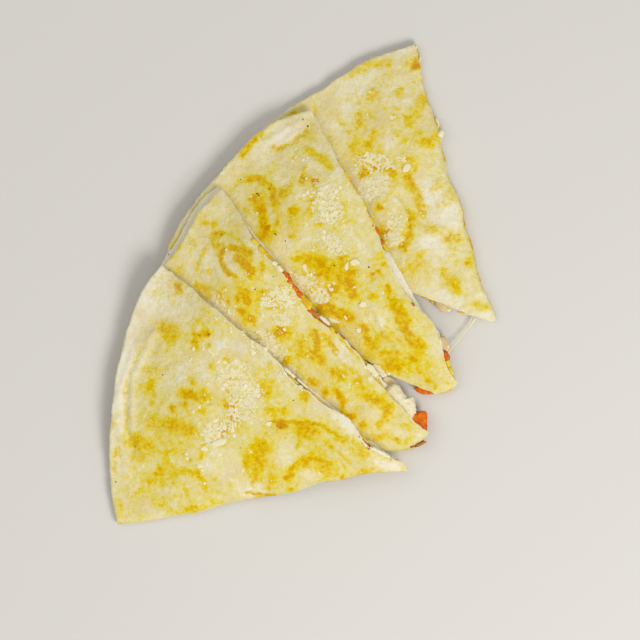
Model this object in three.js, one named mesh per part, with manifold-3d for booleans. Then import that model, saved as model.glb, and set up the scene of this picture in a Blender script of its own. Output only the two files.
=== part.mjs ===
// A flour-tortilla quesadilla: one large tortilla folded in half over a melted filling, cut into four
// wedges that lie together as an overlapping fan. Millimetres, +Z up, resting on z = 0.
// Wedge d lies flat on the surface, c leans on d, b on c, and a on b.
// Each wedge's tortilla is one folded solid, with the filling as a solid of its own between its layers.
import * as THREE from 'three';
import { mergeVertices } from 'three/addons/utils/BufferGeometryUtils.js';
import Module from 'manifold-3d';

const wasm = await Module();
wasm.setup();

// Driving sizes
const TORTILLA = 1.8; // thickness of one layer of tortilla
const FILLING = 5.2; // thickness of the filling where it is deepest
const RIM_FILLING = 1.0; // space left between the layers at the round rim
const RIM_BAND = 44; // width over which the filling thins towards the round rim
const FOLD_BAND = 15; // width over which it thins towards a fold
const FOLD_SHARE = 0.72; // share of the filling left at a fold
const TIP_BAND = 26; // length over which it thins towards the tip
const TIP_SHARE = 0.78; // share of the filling left at the tip
const BRIDGE = 7; // how far a wedge stays level past the edge of the wedge below it
const DRAPE = 34; // reach over which it then sinks to the surface
const FOLD_WALL = 2.4; // tortilla left outside the filling at a fold
const RIM_RECESS = 8; // how far the filling stops short of the round rim
const CUT_OVERRUN = 7; // how far a cutting solid reaches past an open edge
const CLEARANCE = 0.3; // gap between touching pieces
const SWELL = 0.45; // height of the soft bulges over the filling
const SWELL_LENGTH = 8.5; // length scale of those bulges

const COLUMNS = 11; // grid cells across a wedge
const ROWS = 12; // grid cells from tip to rim
const INNER_COLUMNS = 9; // the same for the space between the layers
const INNER_ROWS = 9;
const POINT_START = 9; // how far from a pointed tip that space begins

const TORTILLA_COLOUR = 0xe6d38c;
const FILLING_COLOUR = 0xe3a43a;
const TOMATO_COLOUR = 0xdc5a22;
const CHICKEN_COLOUR = 0xe8dcb9;
const ONION_COLOUR = 0xdcc49a;

// Each wedge is set out by its tip and rim corners on its right and left edges, seen from the tip.
// rimBow and tipBow are how far the rim and the tip stand out from the straight line between the
// corners, at even steps. fold says which side is the closed fold. An edge's steps are
// [place along the edge from the tip, half width, depth]: a layer stands out where depth is positive
// and falls back where it is negative.
const WEDGES = {
  a: {
    tip: { right: [50.6, -89.3], left: [50.9, -91.2] },
    rim: { right: [-68.9, 9.6], left: [-91.1, -116.4] },
    rimBow: [0, 6.5, 9.6, 11.6, 12.2, 12.2, 11.5, 10.1, 7.9, 4.6, 0],
    tipBow: [0, 0.4, 0],
    fold: 'left',
    topRight: [[20, 9, -3.6], [51, 7, -2.4], [68, 9, -3.0]],
    bottomRight: [[26, 8, -1.5]],
    left: [[20, 14, -2.7], [42, 8, -1.9], [60, 6, 0.6], [106, 12, 2.2], [130, 14, 2.0]],
    rimStep: 0,
    phase: 0.4,
  },
  b: {
    tip: { right: [61.9, -72.0], left: [37.5, -81.2] },
    rim: { right: [-41.6, 48.4], left: [-89, -56] },
    rimBow: [0, 4.3, 6.3, 7.2, 9.2, 9.6, 9.2, 8.0, 6.0, 3.3, 0],
    tipBow: [0, 4.2, 4.2, 2.6, 0],
    fold: 'tip',
    topRight: [[8, 6, -1.2], [30, 22, -3.6], [84, 22, -5.6], [122, 20, -3.8]],
    bottomRight: [[30, 22, -1.0], [80, 24, -3.4], [122, 20, -1.5]],
    left: [],
    rimStep: 2.6,
    phase: 1.9,
  },
  c: {
    tip: { right: [75.9, -47.9], left: [65.6, -53.6] },
    rim: { right: [3.9, 84.8], left: [-67.2, 13.8] },
    rimBow: [0, 6.2, 9.8, 11.3, 10.5, 9.7, 9.6, 8.7, 7.2, 4.2, 0],
    tipBow: [0, 1.2, 1.5, 0.8, 0],
    fold: 'tip',
    topRight: [[9, 6, -1.4], [31, 9, 2.9], [50, 7, -2.0], [61, 9, -1.9], [72, 9, -2.3], [96, 18, 0.8]],
    bottomRight: [[27, 11, 3.2], [48, 8, 0.8], [64, 12, 0.9]],
    left: [[24, 14, 1.6]],
    rimStep: 0,
    phase: 3.1,
  },
  d: {
    tip: { right: [95.1, -15.2], left: [92.6, -18.0] },
    rim: { right: [56.0, 117.9], left: [-45.8, 32.6] },
    rimBow: [0, 6.1, 10.1, 12.0, 13.5, 16.0, 16.6, 15.2, 11.8, 6.8, 0],
    tipBow: [0, 0.6, 0],
    fold: 'right',
    topRight: [[22, 16, -3.1], [46, 10, -2.0], [73, 12, -3.5], [87, 6, -1.6], [114, 14, -2.8]],
    bottomRight: [[22, 16, -3.1], [46, 10, -2.0], [73, 12, -3.5], [87, 6, -1.6], [114, 14, -2.8]],
    left: [[15, 4, 0.8]],
    rimStep: 0,
    phase: 4.6,
  },
};

const LOWER = { a: 'b', b: 'c', c: 'd' }; // the wedge that each wedge lies on

// Pieces of filling that stand out of the cut edges: wedge, centre, size, turn in degrees
const PIECES = [
  { name: 'chicken_b', wedge: 'b', at: [47.6, -55.9, 9.2], size: [17, 11, 6.8], turn: -43,
    colour: CHICKEN_COLOUR, seed: 1 },
  { name: 'onion_b', wedge: 'b', at: [42.6, -47.6, 7.4], size: [7.5, 6.5, 2.2], turn: -38,
    colour: ONION_COLOUR, seed: 2 },
  { name: 'tomato_b', wedge: 'b', at: [56.0, -66.0, 7.6], size: [9.6, 9.2, 6.6], turn: -8,
    colour: TOMATO_COLOUR, seed: 3 },
  { name: 'onion_c', wedge: 'c', at: [67.2, -29.0, 5.2], size: [7.6, 8.4, 2.4], turn: 14,
    colour: ONION_COLOUR, seed: 4 },
  { name: 'tomato_c', wedge: 'c', at: [68.3, -35.0, 5.0], size: [6.4, 7.6, 4.2], turn: -18,
    colour: TOMATO_COLOUR, seed: 5 },
  { name: 'tomato_c_tip', wedge: 'c', at: [58.6, -49.6, 4.6], size: [9.6, 7.2, 4.4], turn: -24,
    colour: TOMATO_COLOUR, seed: 6 },
  { name: 'onion_d', wedge: 'd', at: [69.4, -9.2, 4.2], size: [10, 8.6, 2.2], turn: -12,
    colour: ONION_COLOUR, seed: 7 },
];

// Plane helpers -----------------------------------------------------------------------------------

function clamp(value, low, high) {
  return Math.min(high, Math.max(low, value));
}

function smooth(value) {
  const t = clamp(value, 0, 1);
  return t * t * (3 - 2 * t);
}

function mix(from, to, share) {
  return from + (to - from) * share;
}

function pointBetween(from, to, share) {
  return [mix(from[0], to[0], share), mix(from[1], to[1], share)];
}

function distance(p, q) {
  return Math.hypot(q[0] - p[0], q[1] - p[1]);
}

// Distance of point p to the left of the line from start to end.
function leftOf(start, end, p) {
  const cross = (end[0] - start[0]) * (p[1] - start[1]) - (end[1] - start[1]) * (p[0] - start[0]);
  return cross / distance(start, end);
}

// Height of a smooth curve through evenly spaced values, at share 0 to 1 along it.
function bowAt(values, share) {
  const last = values.length - 1;
  const place = clamp(share, 0, 1) * last;
  const i = Math.min(Math.floor(place), last - 1);
  const t = place - i;
  const slopeIn = (values[i + 1] - values[Math.max(i - 1, 0)]) / (i > 0 ? 2 : 1);
  const slopeOut = (values[Math.min(i + 2, last)] - values[i]) / (i + 2 <= last ? 2 : 1);
  const t2 = t * t;
  const t3 = t2 * t;
  return (
    (2 * t3 - 3 * t2 + 1) * values[i] +
    (t3 - 2 * t2 + t) * slopeIn +
    (3 * t2 - 2 * t3) * values[i + 1] +
    (t3 - t2) * slopeOut
  );
}

// Point of a bowed line from right to left corner, standing out to its left-hand side by sign.
function bowedLine(ends, bow, share, sign) {
  const chord = distance(ends.right, ends.left);
  const p = pointBetween(ends.right, ends.left, share);
  const out = (bowAt(bow, share) * sign) / chord;
  return [
    p[0] + (ends.left[1] - ends.right[1]) * out,
    p[1] - (ends.left[0] - ends.right[0]) * out,
  ];
}

// Sum of the soft steps along an edge.
function stepsAt(steps, along) {
  return steps.reduce((sum, [at, half, depth]) => sum + depth * Math.exp(-(((along - at) / half) ** 2)), 0);
}

// Wedge outline -----------------------------------------------------------------------------------

// Plan point of a wedge: u runs from its right edge (0) to its left edge (1), v from tip to rim.
// layer is 0 for the underside and 1 for the top.
function planPoint(wedge, u, v, layer) {
  const onTip = bowedLine(wedge.tip, wedge.tipBow, u, -1);
  const onRim = bowedLine(wedge.rim, wedge.rimBow, u, 1);
  const p = pointBetween(onTip, onRim, v);
  const edgeShare = 7; // keeps an edge's steps within the outer part of the wedge
  const steps = (side, list, weight) => {
    const from = wedge.tip[side];
    const to = wedge.rim[side];
    const length = distance(from, to);
    const out = (stepsAt(list, v * length) * weight) / length;
    const turn = side === 'right' ? 1 : -1;
    p[0] += (to[1] - from[1]) * out * turn;
    p[1] -= (to[0] - from[0]) * out * turn;
  };
  steps('right', wedge.topRight, layer * (1 - clamp(u, 0, 1)) ** edgeShare);
  steps('right', wedge.bottomRight, (1 - layer) * (1 - clamp(u, 0, 1)) ** edgeShare);
  steps('left', wedge.left, clamp(u, 0, 1) ** edgeShare);
  const pull = (wedge.rimStep * layer * clamp(v, 0, 1) ** edgeShare) / distance(onTip, onRim);
  p[0] -= (onRim[0] - onTip[0]) * pull;
  p[1] -= (onRim[1] - onTip[1]) * pull;
  return p;
}

// Width across a wedge at v, and its length from tip to rim.
function widthAt(wedge, v) {
  return distance(planPoint(wedge, 0, v, 0), planPoint(wedge, 1, v, 0));
}

function lengthOf(wedge) {
  return distance(planPoint(wedge, 0.5, 0, 0), planPoint(wedge, 0.5, 1, 0));
}

// Centre and radius of the circle through the rim's corners and its middle.
function rimCircle(wedge) {
  const [a, b, c] = [wedge.rim.right, bowedLine(wedge.rim, wedge.rimBow, 0.5, 1), wedge.rim.left];
  const d = 2 * (a[0] * (b[1] - c[1]) + b[0] * (c[1] - a[1]) + c[0] * (a[1] - b[1]));
  const square = (p) => p[0] ** 2 + p[1] ** 2;
  const centre = [
    (square(a) * (b[1] - c[1]) + square(b) * (c[1] - a[1]) + square(c) * (a[1] - b[1])) / d,
    (square(a) * (c[0] - b[0]) + square(b) * (a[0] - c[0]) + square(c) * (b[0] - a[0])) / d,
  ];
  return { centre, radius: distance(centre, a) };
}

// Heights -----------------------------------------------------------------------------------------

// Space between the two layers of tortilla over plan point p.
function fillingAt(wedge, p) {
  const circle = rimCircle(wedge);
  const fromRim = circle.radius - distance(circle.centre, p);
  const fromTip = distance(pointBetween(wedge.tip.right, wedge.tip.left, 0.5), p);
  const body = smooth(fromRim / RIM_BAND);
  let space = mix(RIM_FILLING, FILLING, body) * mix(TIP_SHARE, 1, smooth(fromTip / TIP_BAND));
  if (wedge.fold !== 'tip') {
    const side = wedge.fold;
    const turn = side === 'left' ? -1 : 1;
    const fromFold = leftOf(wedge.tip[side], wedge.rim[side], p) * turn;
    space *= mix(FOLD_SHARE, 1, smooth(fromFold / FOLD_BAND));
  }
  const swell = Math.sin(p[0] / SWELL_LENGTH + wedge.phase) * Math.cos(p[1] / SWELL_LENGTH - wedge.phase);
  return space + SWELL * body * swell;
}

// Height of a wedge's underside and of its top over p, before its fold is rounded.
function undersideAt(key, p) {
  const lowerKey = LOWER[key];
  if (!lowerKey) return 0;
  const lower = WEDGES[lowerKey];
  const pastCut = Math.max(0, leftOf(lower.tip.left, lower.rim.left, p));
  const pastTip = Math.max(0, leftOf(lower.tip.left, lower.tip.right, p) * -1);
  const past = Math.max(0, Math.hypot(pastCut, pastTip) - BRIDGE);
  return smooth(1 - past / DRAPE) * (topAt(lowerKey, p) + CLEARANCE);
}

function topAt(key, p) {
  return undersideAt(key, p) + 2 * TORTILLA + fillingAt(WEDGES[key], p);
}

// Bottom and top of a wedge at grid place u, v, with its fold rounded off.
function sectionAt(key, u, v, layer) {
  const wedge = WEDGES[key];
  const p = planPoint(wedge, u, v, layer);
  const low = undersideAt(key, p);
  const full = topAt(key, p) - low;
  const fromFold = {
    left: (1 - u) * widthAt(wedge, v),
    right: u * widthAt(wedge, v),
    tip: v * lengthOf(wedge),
  }[wedge.fold];
  const nose = 0.3; // share of the height left at the very edge of the fold
  const round = Math.max(nose, Math.sqrt(1 - (1 - clamp(fromFold / (0.55 * full), 0, 1)) ** 2));
  const bottom = low + full * (1 - round) * 0.42;
  return { p, bottom, top: bottom + full * round };
}

// Solids ------------------------------------------------------------------------------------------

function toManifold(geometry) {
  const plain = geometry.clone();
  plain.deleteAttribute('normal');
  plain.deleteAttribute('uv');
  const merged = mergeVertices(plain, 1e-4);
  return new wasm.Manifold(
    new wasm.Mesh({
      numProp: 3,
      vertProperties: new Float32Array(merged.getAttribute('position').array),
      triVerts: new Uint32Array(merged.index.array),
    }),
  );
}

function toGeometry(manifold) {
  const mesh = manifold.getMesh();
  const geometry = new THREE.BufferGeometry();
  geometry.setAttribute('position', new THREE.BufferAttribute(mesh.vertProperties, 3));
  geometry.setIndex(new THREE.BufferAttribute(mesh.triVerts, 1));
  return geometry;
}

// Closed solid between two grids of the same plan: pointAt(i, j, layer) gives [x, y, z].
function gridSolid(columns, rows, pointAt) {
  const positions = [];
  for (const layer of [0, 1]) {
    for (let j = 0; j <= rows; j += 1) {
      for (let i = 0; i <= columns; i += 1) positions.push(...pointAt(i, j, layer));
    }
  }
  const id = (i, j, layer) => (layer * (rows + 1) + j) * (columns + 1) + i;
  const faces = [];
  const quad = (a, b, c, d) => faces.push(a, b, c, a, c, d);
  for (let j = 0; j < rows; j += 1) {
    for (let i = 0; i < columns; i += 1) {
      quad(id(i, j, 1), id(i, j + 1, 1), id(i + 1, j + 1, 1), id(i + 1, j, 1));
      quad(id(i, j, 0), id(i + 1, j, 0), id(i + 1, j + 1, 0), id(i, j + 1, 0));
    }
  }
  for (let j = 0; j < rows; j += 1) {
    quad(id(0, j, 0), id(0, j + 1, 0), id(0, j + 1, 1), id(0, j, 1));
    quad(id(columns, j, 0), id(columns, j, 1), id(columns, j + 1, 1), id(columns, j + 1, 0));
  }
  for (let i = 0; i < columns; i += 1) {
    quad(id(i, 0, 0), id(i, 0, 1), id(i + 1, 0, 1), id(i + 1, 0, 0));
    quad(id(i, rows, 0), id(i + 1, rows, 0), id(i + 1, rows, 1), id(i, rows, 1));
  }
  const geometry = new THREE.BufferGeometry();
  geometry.setAttribute('position', new THREE.Float32BufferAttribute(positions, 3));
  geometry.setIndex(faces);
  return toManifold(geometry);
}

// Outer form of a wedge, grown by margin on every side, with its grid drawn closer at the fold.
function outerSolid(key, margin) {
  const wedge = WEDGES[key];
  const crowd = 1.7; // how much closer the grid is at the fold
  const across = (i) => {
    const share = i / COLUMNS;
    if (wedge.fold === 'left') return 1 - (1 - share) ** crowd;
    if (wedge.fold === 'right') return share ** crowd;
    return share;
  };
  const along = (j) => (wedge.fold === 'tip' ? (j / ROWS) ** crowd : j / ROWS);
  const length = lengthOf(wedge);
  return gridSolid(COLUMNS, ROWS, (i, j, layer) => {
    const v = mix(-margin / length, 1 + margin / length, along(j));
    const grown = margin / widthAt(wedge, v);
    const section = sectionAt(key, mix(-grown, 1 + grown, across(i)), v, layer);
    return [...section.p, layer ? section.top + margin : section.bottom - margin];
  });
}

// Plan grid of the space between a wedge's layers. It starts one fold wall inside the fold, and at
// the open edges it reaches past the outline by past, or short of it where past is negative.
function innerPlan(wedge, past, pastRim, wall, ripple) {
  const length = lengthOf(wedge);
  const firstRow = (wedge.fold === 'tip' ? wall : POINT_START) / length;
  return (i, j) => {
    const v = mix(firstRow, 1 + pastRim / length, j / INNER_ROWS);
    const width = widthAt(wedge, v);
    const open = (past + ripple * Math.sin(j * 2.3 + wedge.phase)) / width;
    const first = wedge.fold === 'right' ? wall / width : -open;
    const last = wedge.fold === 'left' ? 1 - wall / width : 1 + open;
    return [mix(first, last, i / INNER_COLUMNS), v];
  };
}

// Space between the two layers of a wedge, drawn in by margin above and below.
function spaceSolid(key, margin) {
  const plan = innerPlan(WEDGES[key], CUT_OVERRUN, CUT_OVERRUN, FOLD_WALL, 0);
  return gridSolid(INNER_COLUMNS, INNER_ROWS, (i, j, layer) => {
    const section = sectionAt(key, ...plan(i, j), 0.5);
    const low = section.bottom + TORTILLA + margin;
    const high = section.top - TORTILLA - margin;
    return [...section.p, layer ? Math.max(high, low + 0.15) : low];
  });
}

// Upright block that trims the filling to a wedge's outline.
function trimSolid(key) {
  const plan = innerPlan(WEDGES[key], -0.8, -RIM_RECESS, FOLD_WALL + CLEARANCE, 0.9);
  return gridSolid(INNER_COLUMNS, INNER_ROWS, (i, j, layer) => {
    const reach = 60;
    return [...planPoint(WEDGES[key], ...plan(i, j), 0.5), layer ? reach : -reach];
  });
}

// An uneven diced piece, grown on every side by margin.
function pieceSolid(piece, margin) {
  const box = new THREE.BoxGeometry(1, 1, 1, 2, 2, 2);
  box.deleteAttribute('normal');
  box.deleteAttribute('uv');
  const geometry = mergeVertices(box);
  const corner = new THREE.Vector3();
  const points = geometry.getAttribute('position');
  for (let i = 0; i < points.count; i += 1) {
    corner.fromBufferAttribute(points, i);
    const roundness = 1 - 0.28 * Math.max(0, corner.length() - 0.5);
    const uneven = 1 + 0.09 * Math.sin(i * 2.7 + piece.seed * 1.9);
    corner.multiplyScalar(roundness * uneven);
    points.setXYZ(i, corner.x, corner.y, corner.z);
  }
  const [sx, sy, sz] = piece.size.map((side) => side + 2 * margin);
  geometry.scale(sx, sy, sz);
  geometry.rotateZ(THREE.MathUtils.degToRad(piece.turn));
  geometry.translate(...piece.at);
  return toManifold(geometry);
}

// Assembly ----------------------------------------------------------------------------------------

function meshOf(name, solid, colour, roughness) {
  const material = new THREE.MeshStandardMaterial({ color: colour, roughness, metalness: 0 });
  const mesh = new THREE.Mesh(toGeometry(solid), material);
  mesh.name = name;
  return mesh;
}

const quesadilla = new THREE.Group();
const keys = Object.keys(WEDGES);

for (const key of keys) {
  let tortilla = outerSolid(key, 0).subtract(spaceSolid(key, 0));
  if (LOWER[key]) tortilla = tortilla.subtract(outerSolid(LOWER[key], CLEARANCE));
  quesadilla.add(meshOf(`tortilla_${key}`, tortilla, TORTILLA_COLOUR, 0.75));
}

for (const key of keys) {
  let filling = spaceSolid(key, CLEARANCE).intersect(trimSolid(key));
  for (const piece of PIECES.filter((item) => item.wedge === key)) {
    filling = filling.subtract(pieceSolid(piece, CLEARANCE));
  }
  quesadilla.add(meshOf(`filling_${key}`, filling, FILLING_COLOUR, 0.45));
}

for (const [order, piece] of PIECES.entries()) {
  const layers = outerSolid(piece.wedge, CLEARANCE).subtract(spaceSolid(piece.wedge, CLEARANCE));
  let solid = pieceSolid(piece, 0).subtract(layers);
  if (LOWER[piece.wedge]) solid = solid.subtract(outerSolid(LOWER[piece.wedge], CLEARANCE));
  for (const earlier of PIECES.slice(0, order)) solid = solid.subtract(pieceSolid(earlier, CLEARANCE));
  quesadilla.add(meshOf(piece.name, solid, piece.colour, 0.4));
}

export default quesadilla;
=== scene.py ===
import logging
import math
from dataclasses import dataclass
from enum import Enum
from typing import Optional, Sequence

import bpy
import numpy as np
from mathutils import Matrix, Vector
from mathutils.bvhtree import BVHTree


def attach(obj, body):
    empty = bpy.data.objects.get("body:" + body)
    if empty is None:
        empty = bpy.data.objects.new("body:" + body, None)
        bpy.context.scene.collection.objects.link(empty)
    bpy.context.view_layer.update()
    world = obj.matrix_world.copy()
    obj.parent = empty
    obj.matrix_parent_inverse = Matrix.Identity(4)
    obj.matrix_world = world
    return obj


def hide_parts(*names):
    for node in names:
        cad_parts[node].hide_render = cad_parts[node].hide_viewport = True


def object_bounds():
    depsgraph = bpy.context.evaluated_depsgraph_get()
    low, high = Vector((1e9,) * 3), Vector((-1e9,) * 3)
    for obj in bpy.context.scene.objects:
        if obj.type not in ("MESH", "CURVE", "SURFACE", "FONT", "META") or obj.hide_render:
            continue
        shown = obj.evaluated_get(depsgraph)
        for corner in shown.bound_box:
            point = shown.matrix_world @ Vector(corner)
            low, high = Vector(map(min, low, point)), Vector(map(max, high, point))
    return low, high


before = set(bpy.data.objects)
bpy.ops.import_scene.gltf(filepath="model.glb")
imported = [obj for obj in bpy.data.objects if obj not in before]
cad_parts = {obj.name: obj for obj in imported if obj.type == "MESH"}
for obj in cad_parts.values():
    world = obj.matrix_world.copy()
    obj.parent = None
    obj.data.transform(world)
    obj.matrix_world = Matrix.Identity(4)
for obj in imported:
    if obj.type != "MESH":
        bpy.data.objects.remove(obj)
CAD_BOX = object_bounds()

LOG = logging.getLogger("quesadilla")
MM = 0.001  # metres in a millimetre
BODY = "root"

# Sizes of the folded wedges in mm, the same as the CAD part's
TORTILLA = 1.8  # thickness of one layer
FILLING = 5.2  # thickness of the filling where it is deepest
RIM_FILLING = 1.0  # space left between the layers at the round rim
RIM_BAND = 44.0  # width over which the filling thins towards the rim
FOLD_BAND = 15.0  # width over which it thins towards a fold
FOLD_SHARE = 0.72  # share of the filling left at a fold
TIP_BAND = 26.0  # length over which it thins towards the tip
TIP_SHARE = 0.78  # share of the filling left at the tip
BRIDGE = 7.0  # how far a wedge stays level past the wedge below it
DRAPE = 34.0  # reach over which it then sinks to the surface
CLEARANCE = 0.3  # gap between a wedge and the one below it
SWELL = 0.45  # height of the soft bulges over the filling
SWELL_LENGTH = 8.5  # length scale of those bulges
FOLD_REACH = 0.55  # depth of the rounded fold, as a share of the height
FOLD_LEVEL = 0.42  # height of the fold's nose, as a share of the height

# Toast and relief of a wedge's top
MOST_SHADE = 0.97  # of one mark
SPOT_CORE, SPOT_HALO = 0.78, 2.1  # share of a spot's flat core; reach of its halo in half axes
STROKE_CORE, STROKE_HALO = 0.8, 2.0  # the same for strokes, in half widths
CREASE_SHADE = 0.45  # painted shade: toast colour along the bottom of a crease
CREASE_NARROWED = 1.25  # how much narrower that painted shade is than the crease
CHAR = 0.22  # extra toast in the middle of spots stronger than 1
PLAIN_TOAST, MOST_PLAIN_TOAST = 0.3, 0.78  # between the marks: mean, and most after its noise
MOST_FLOUR = 2.0
RELIEF = 1.4  # factor on the listed heights of ridges and creases

# Powers of a share across the wedge: the higher, the closer an effect stays to the edge
EDGE_STEPS = 7
CUT_LIFT = 22
RIM_THINNING = 26
CUT_THINNING = 30
CUT_RAGS = 34
RIM_RAGS = 60

# Noises: (height, cell in mm, number added to the seed, octaves if not 3)
OUTLINE_WARP = (1.0, 4.2, 0)  # moves the outlines of toasted marks
OUTLINE_FRAY = (0.7, 1.4, 2)
UNDER_MARKS = ((0.34, 13.0, 3), (0.27, 4.0, 5))  # toast between the marks
FLOUR_WARP = (2.0, 6.0, 11)
FLOUR = (0.28, 17.0, 13)
LUMPS = ((0.4, 8.0, 17), (0.18, 2.8, 19))
CUT_RAG = ((0.55, 2.6, 21), (0.5, 9.0, 23, 1))
SIDE_RAG = (0.3, 3.4, 25)
RIM_RAG = (0.55, 6.5, 27, 1)
RIM_FRAY = (0.5, 2.2, 29)
CUT_WAVE = (1.0, 11.0, 31, 1)
UNDERSIDE = (0.25, 9.0, 33)
UNDERSIDE_TOAST = (1.0, 11.0, 41)
FILLING_RUN = (1.3, 7.0, 51)
FILLING_LUMPS = (0.25, 3.0, 53)
FILLING_BLEND = (0.45, 8.0, 55)
FILLING_EDGE_BLEND = (0.4, 5.0, 55)


class Fold(Enum):
    """Side of a wedge that is the closed fold."""

    LEFT = "left"
    RIGHT = "right"
    TIP = "tip"


# Plane helpers


def smooth(value: np.ndarray) -> np.ndarray:
    """Smooth step: 3t^2 - 2t^3 of the value clipped to 0..1."""
    t = np.clip(value, 0.0, 1.0)
    return t * t * (3.0 - 2.0 * t)


def mix(first, second, share):
    """Straight blend from first (share 0) to second (share 1)."""
    return first + (second - first) * share


def near_one(share: np.ndarray, power: float) -> np.ndarray:
    """Power of a share clipped to 0..1: 1 where the share is 1, fading away from there."""
    return np.clip(share, 0.0, 1.0) ** power


def turned(degrees: float) -> complex:
    """Factor that turns plan points to the left."""
    return np.exp(1j * math.radians(degrees))


def unit_plan(vector):
    """Plan vectors scaled to length 1."""
    return vector / np.abs(vector)


def value_noise(point: np.ndarray, cell: float, seed: int) -> np.ndarray:
    """Smooth noise from -1 to 1: random values on a square lattice, blended with a quintic fade.

    Args:
        point: Plan points in mm.
        cell: Lattice spacing in mm.
        seed: Seed of the lattice.

    Returns:
        One value for each point.
    """
    size = 128
    lattice = np.random.default_rng(seed).uniform(-1.0, 1.0, (size, size))
    x, y = np.real(point) / cell + 31.7, np.imag(point) / cell + 57.3
    column, row = np.floor(x).astype(int), np.floor(y).astype(int)
    fx, fy = (f ** 3 * (f * (f * 6.0 - 15.0) + 10.0) for f in (x - column, y - row))
    low, high = (
        mix(lattice[k % size, column % size], lattice[k % size, (column + 1) % size], fx)
        for k in (row, row + 1)
    )
    return mix(low, high, fy)


def layered_noise(point: np.ndarray, cell: float, seed: int, octaves: int = 3) -> np.ndarray:
    """Sum of noises, each half the size and half the height of the one before, turned apart."""
    total, height = 0.0, 1.0
    for octave in range(octaves):
        apart = point * np.exp(0.6j * octave)
        total = total + height * value_noise(apart, cell / 2 ** octave, seed + octave)
        height *= 0.5
    return total / (2.0 - 2.0 ** (1 - octaves))


def waves(point: np.ndarray, seed: int, *noises: tuple[float, ...]) -> np.ndarray:
    """Sum of layered noises, each (height, cell in mm, number added to the seed, octaves)."""
    return sum(
        height * layered_noise(point, cell, seed + add, *octaves)
        for height, cell, add, *octaves in noises
    )


def curve_through(values: Sequence[float], share: np.ndarray) -> np.ndarray:
    """Smooth cubic curve through evenly spaced values, at share 0 to 1 along it."""
    listed = np.asarray(values)
    last = len(listed) - 1
    slopes = np.gradient(listed)
    place = np.clip(share, 0.0, 1.0) * last
    i = np.minimum(np.floor(place).astype(int), last - 1)
    t = place - i
    return (
        (2 * t ** 3 - 3 * t ** 2 + 1) * listed[i] + (t ** 3 - 2 * t ** 2 + t) * slopes[i]
        + (3 * t ** 2 - 2 * t ** 3) * listed[i + 1] + (t ** 3 - t ** 2) * slopes[i + 1]
    )


def left_of(start: complex, end: complex, point: np.ndarray) -> np.ndarray:
    """Distance of a point to the left of the line from start to end."""
    along = end - start
    return np.imag(np.conj(along) * (point - start)) / abs(along)


def bowed_line(right: complex, left: complex, bow: Sequence[float], share: np.ndarray, sign: float):
    """Point on the line from right to left corner, pushed sideways by the bow at that share."""
    chord = left - right
    return mix(right, left, share) - 1j * chord / abs(chord) * sign * curve_through(bow, share)


def steps_at(steps: Sequence[tuple[float, float, float]], along: np.ndarray) -> np.ndarray:
    """Sum of bell-shaped steps (place, half width, depth) along an edge."""
    total = np.zeros_like(along)
    for place, half, depth in steps:
        total = total + depth * np.exp(-(((along - place) / half) ** 2))
    return total


def as_points(numbers: Sequence[float]) -> np.ndarray:
    """Plan points from a list of x, y, x, y and so on."""
    return np.array(numbers[::2]) + 1j * np.array(numbers[1::2])


# Marks on the tortilla

Oval = tuple[float, ...]  # x, y, length, width, turn in degrees, strength (or height in mm)
Stroke = tuple[tuple[float, ...], float, float]  # x, y pairs; width; strength (or height in mm)


def off_oval(point: np.ndarray, oval: Oval) -> np.ndarray:
    """Distance from an oval's middle in half axes, so that its outline is at 1.

    A round oval may be listed as x, y, size, strength, and one that isn't turned without its turn.
    """
    shapes = {4: (0, 1, 2, 2), 5: (0, 1, 2, 3)}
    x, y, length, width = (oval[k] for k in shapes.get(len(oval), range(4)))
    turn = oval[4] if len(oval) > 5 else 0.0
    local = (point - complex(x, y)) * turned(-turn)
    return np.hypot(np.real(local) / (length / 2), np.imag(local) / (width / 2))


def off_stroke(point: np.ndarray, stroke: Stroke) -> np.ndarray:
    """Shortest distance from each point to a stroke's path, in half widths."""
    numbers, width, _ = stroke
    path = as_points(numbers)
    nearest = np.full(point.shape, np.inf)
    for start, end in zip(path[:-1], path[1:]):
        along = end - start
        share = np.clip(np.real(np.conj(along) * (point - start)) / abs(along) ** 2, 0.0, 1.0)
        nearest = np.minimum(nearest, np.abs(point - start - along * share))
    return nearest / (width / 2)


def stain(off: np.ndarray, strength: float, core: float, halo: float) -> np.ndarray:
    """Shade of a toasted mark: a flat core with a steep edge, inside a faint wide halo."""
    return strength * (core / (1.0 + off ** 5) + (1.0 - core) * np.exp(-((off / halo) ** 2)))


def spot_shade(point: np.ndarray, oval: Oval) -> np.ndarray:
    """Shade of an oval spot."""
    return stain(off_oval(point, oval), oval[-1], SPOT_CORE, SPOT_HALO)


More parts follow.
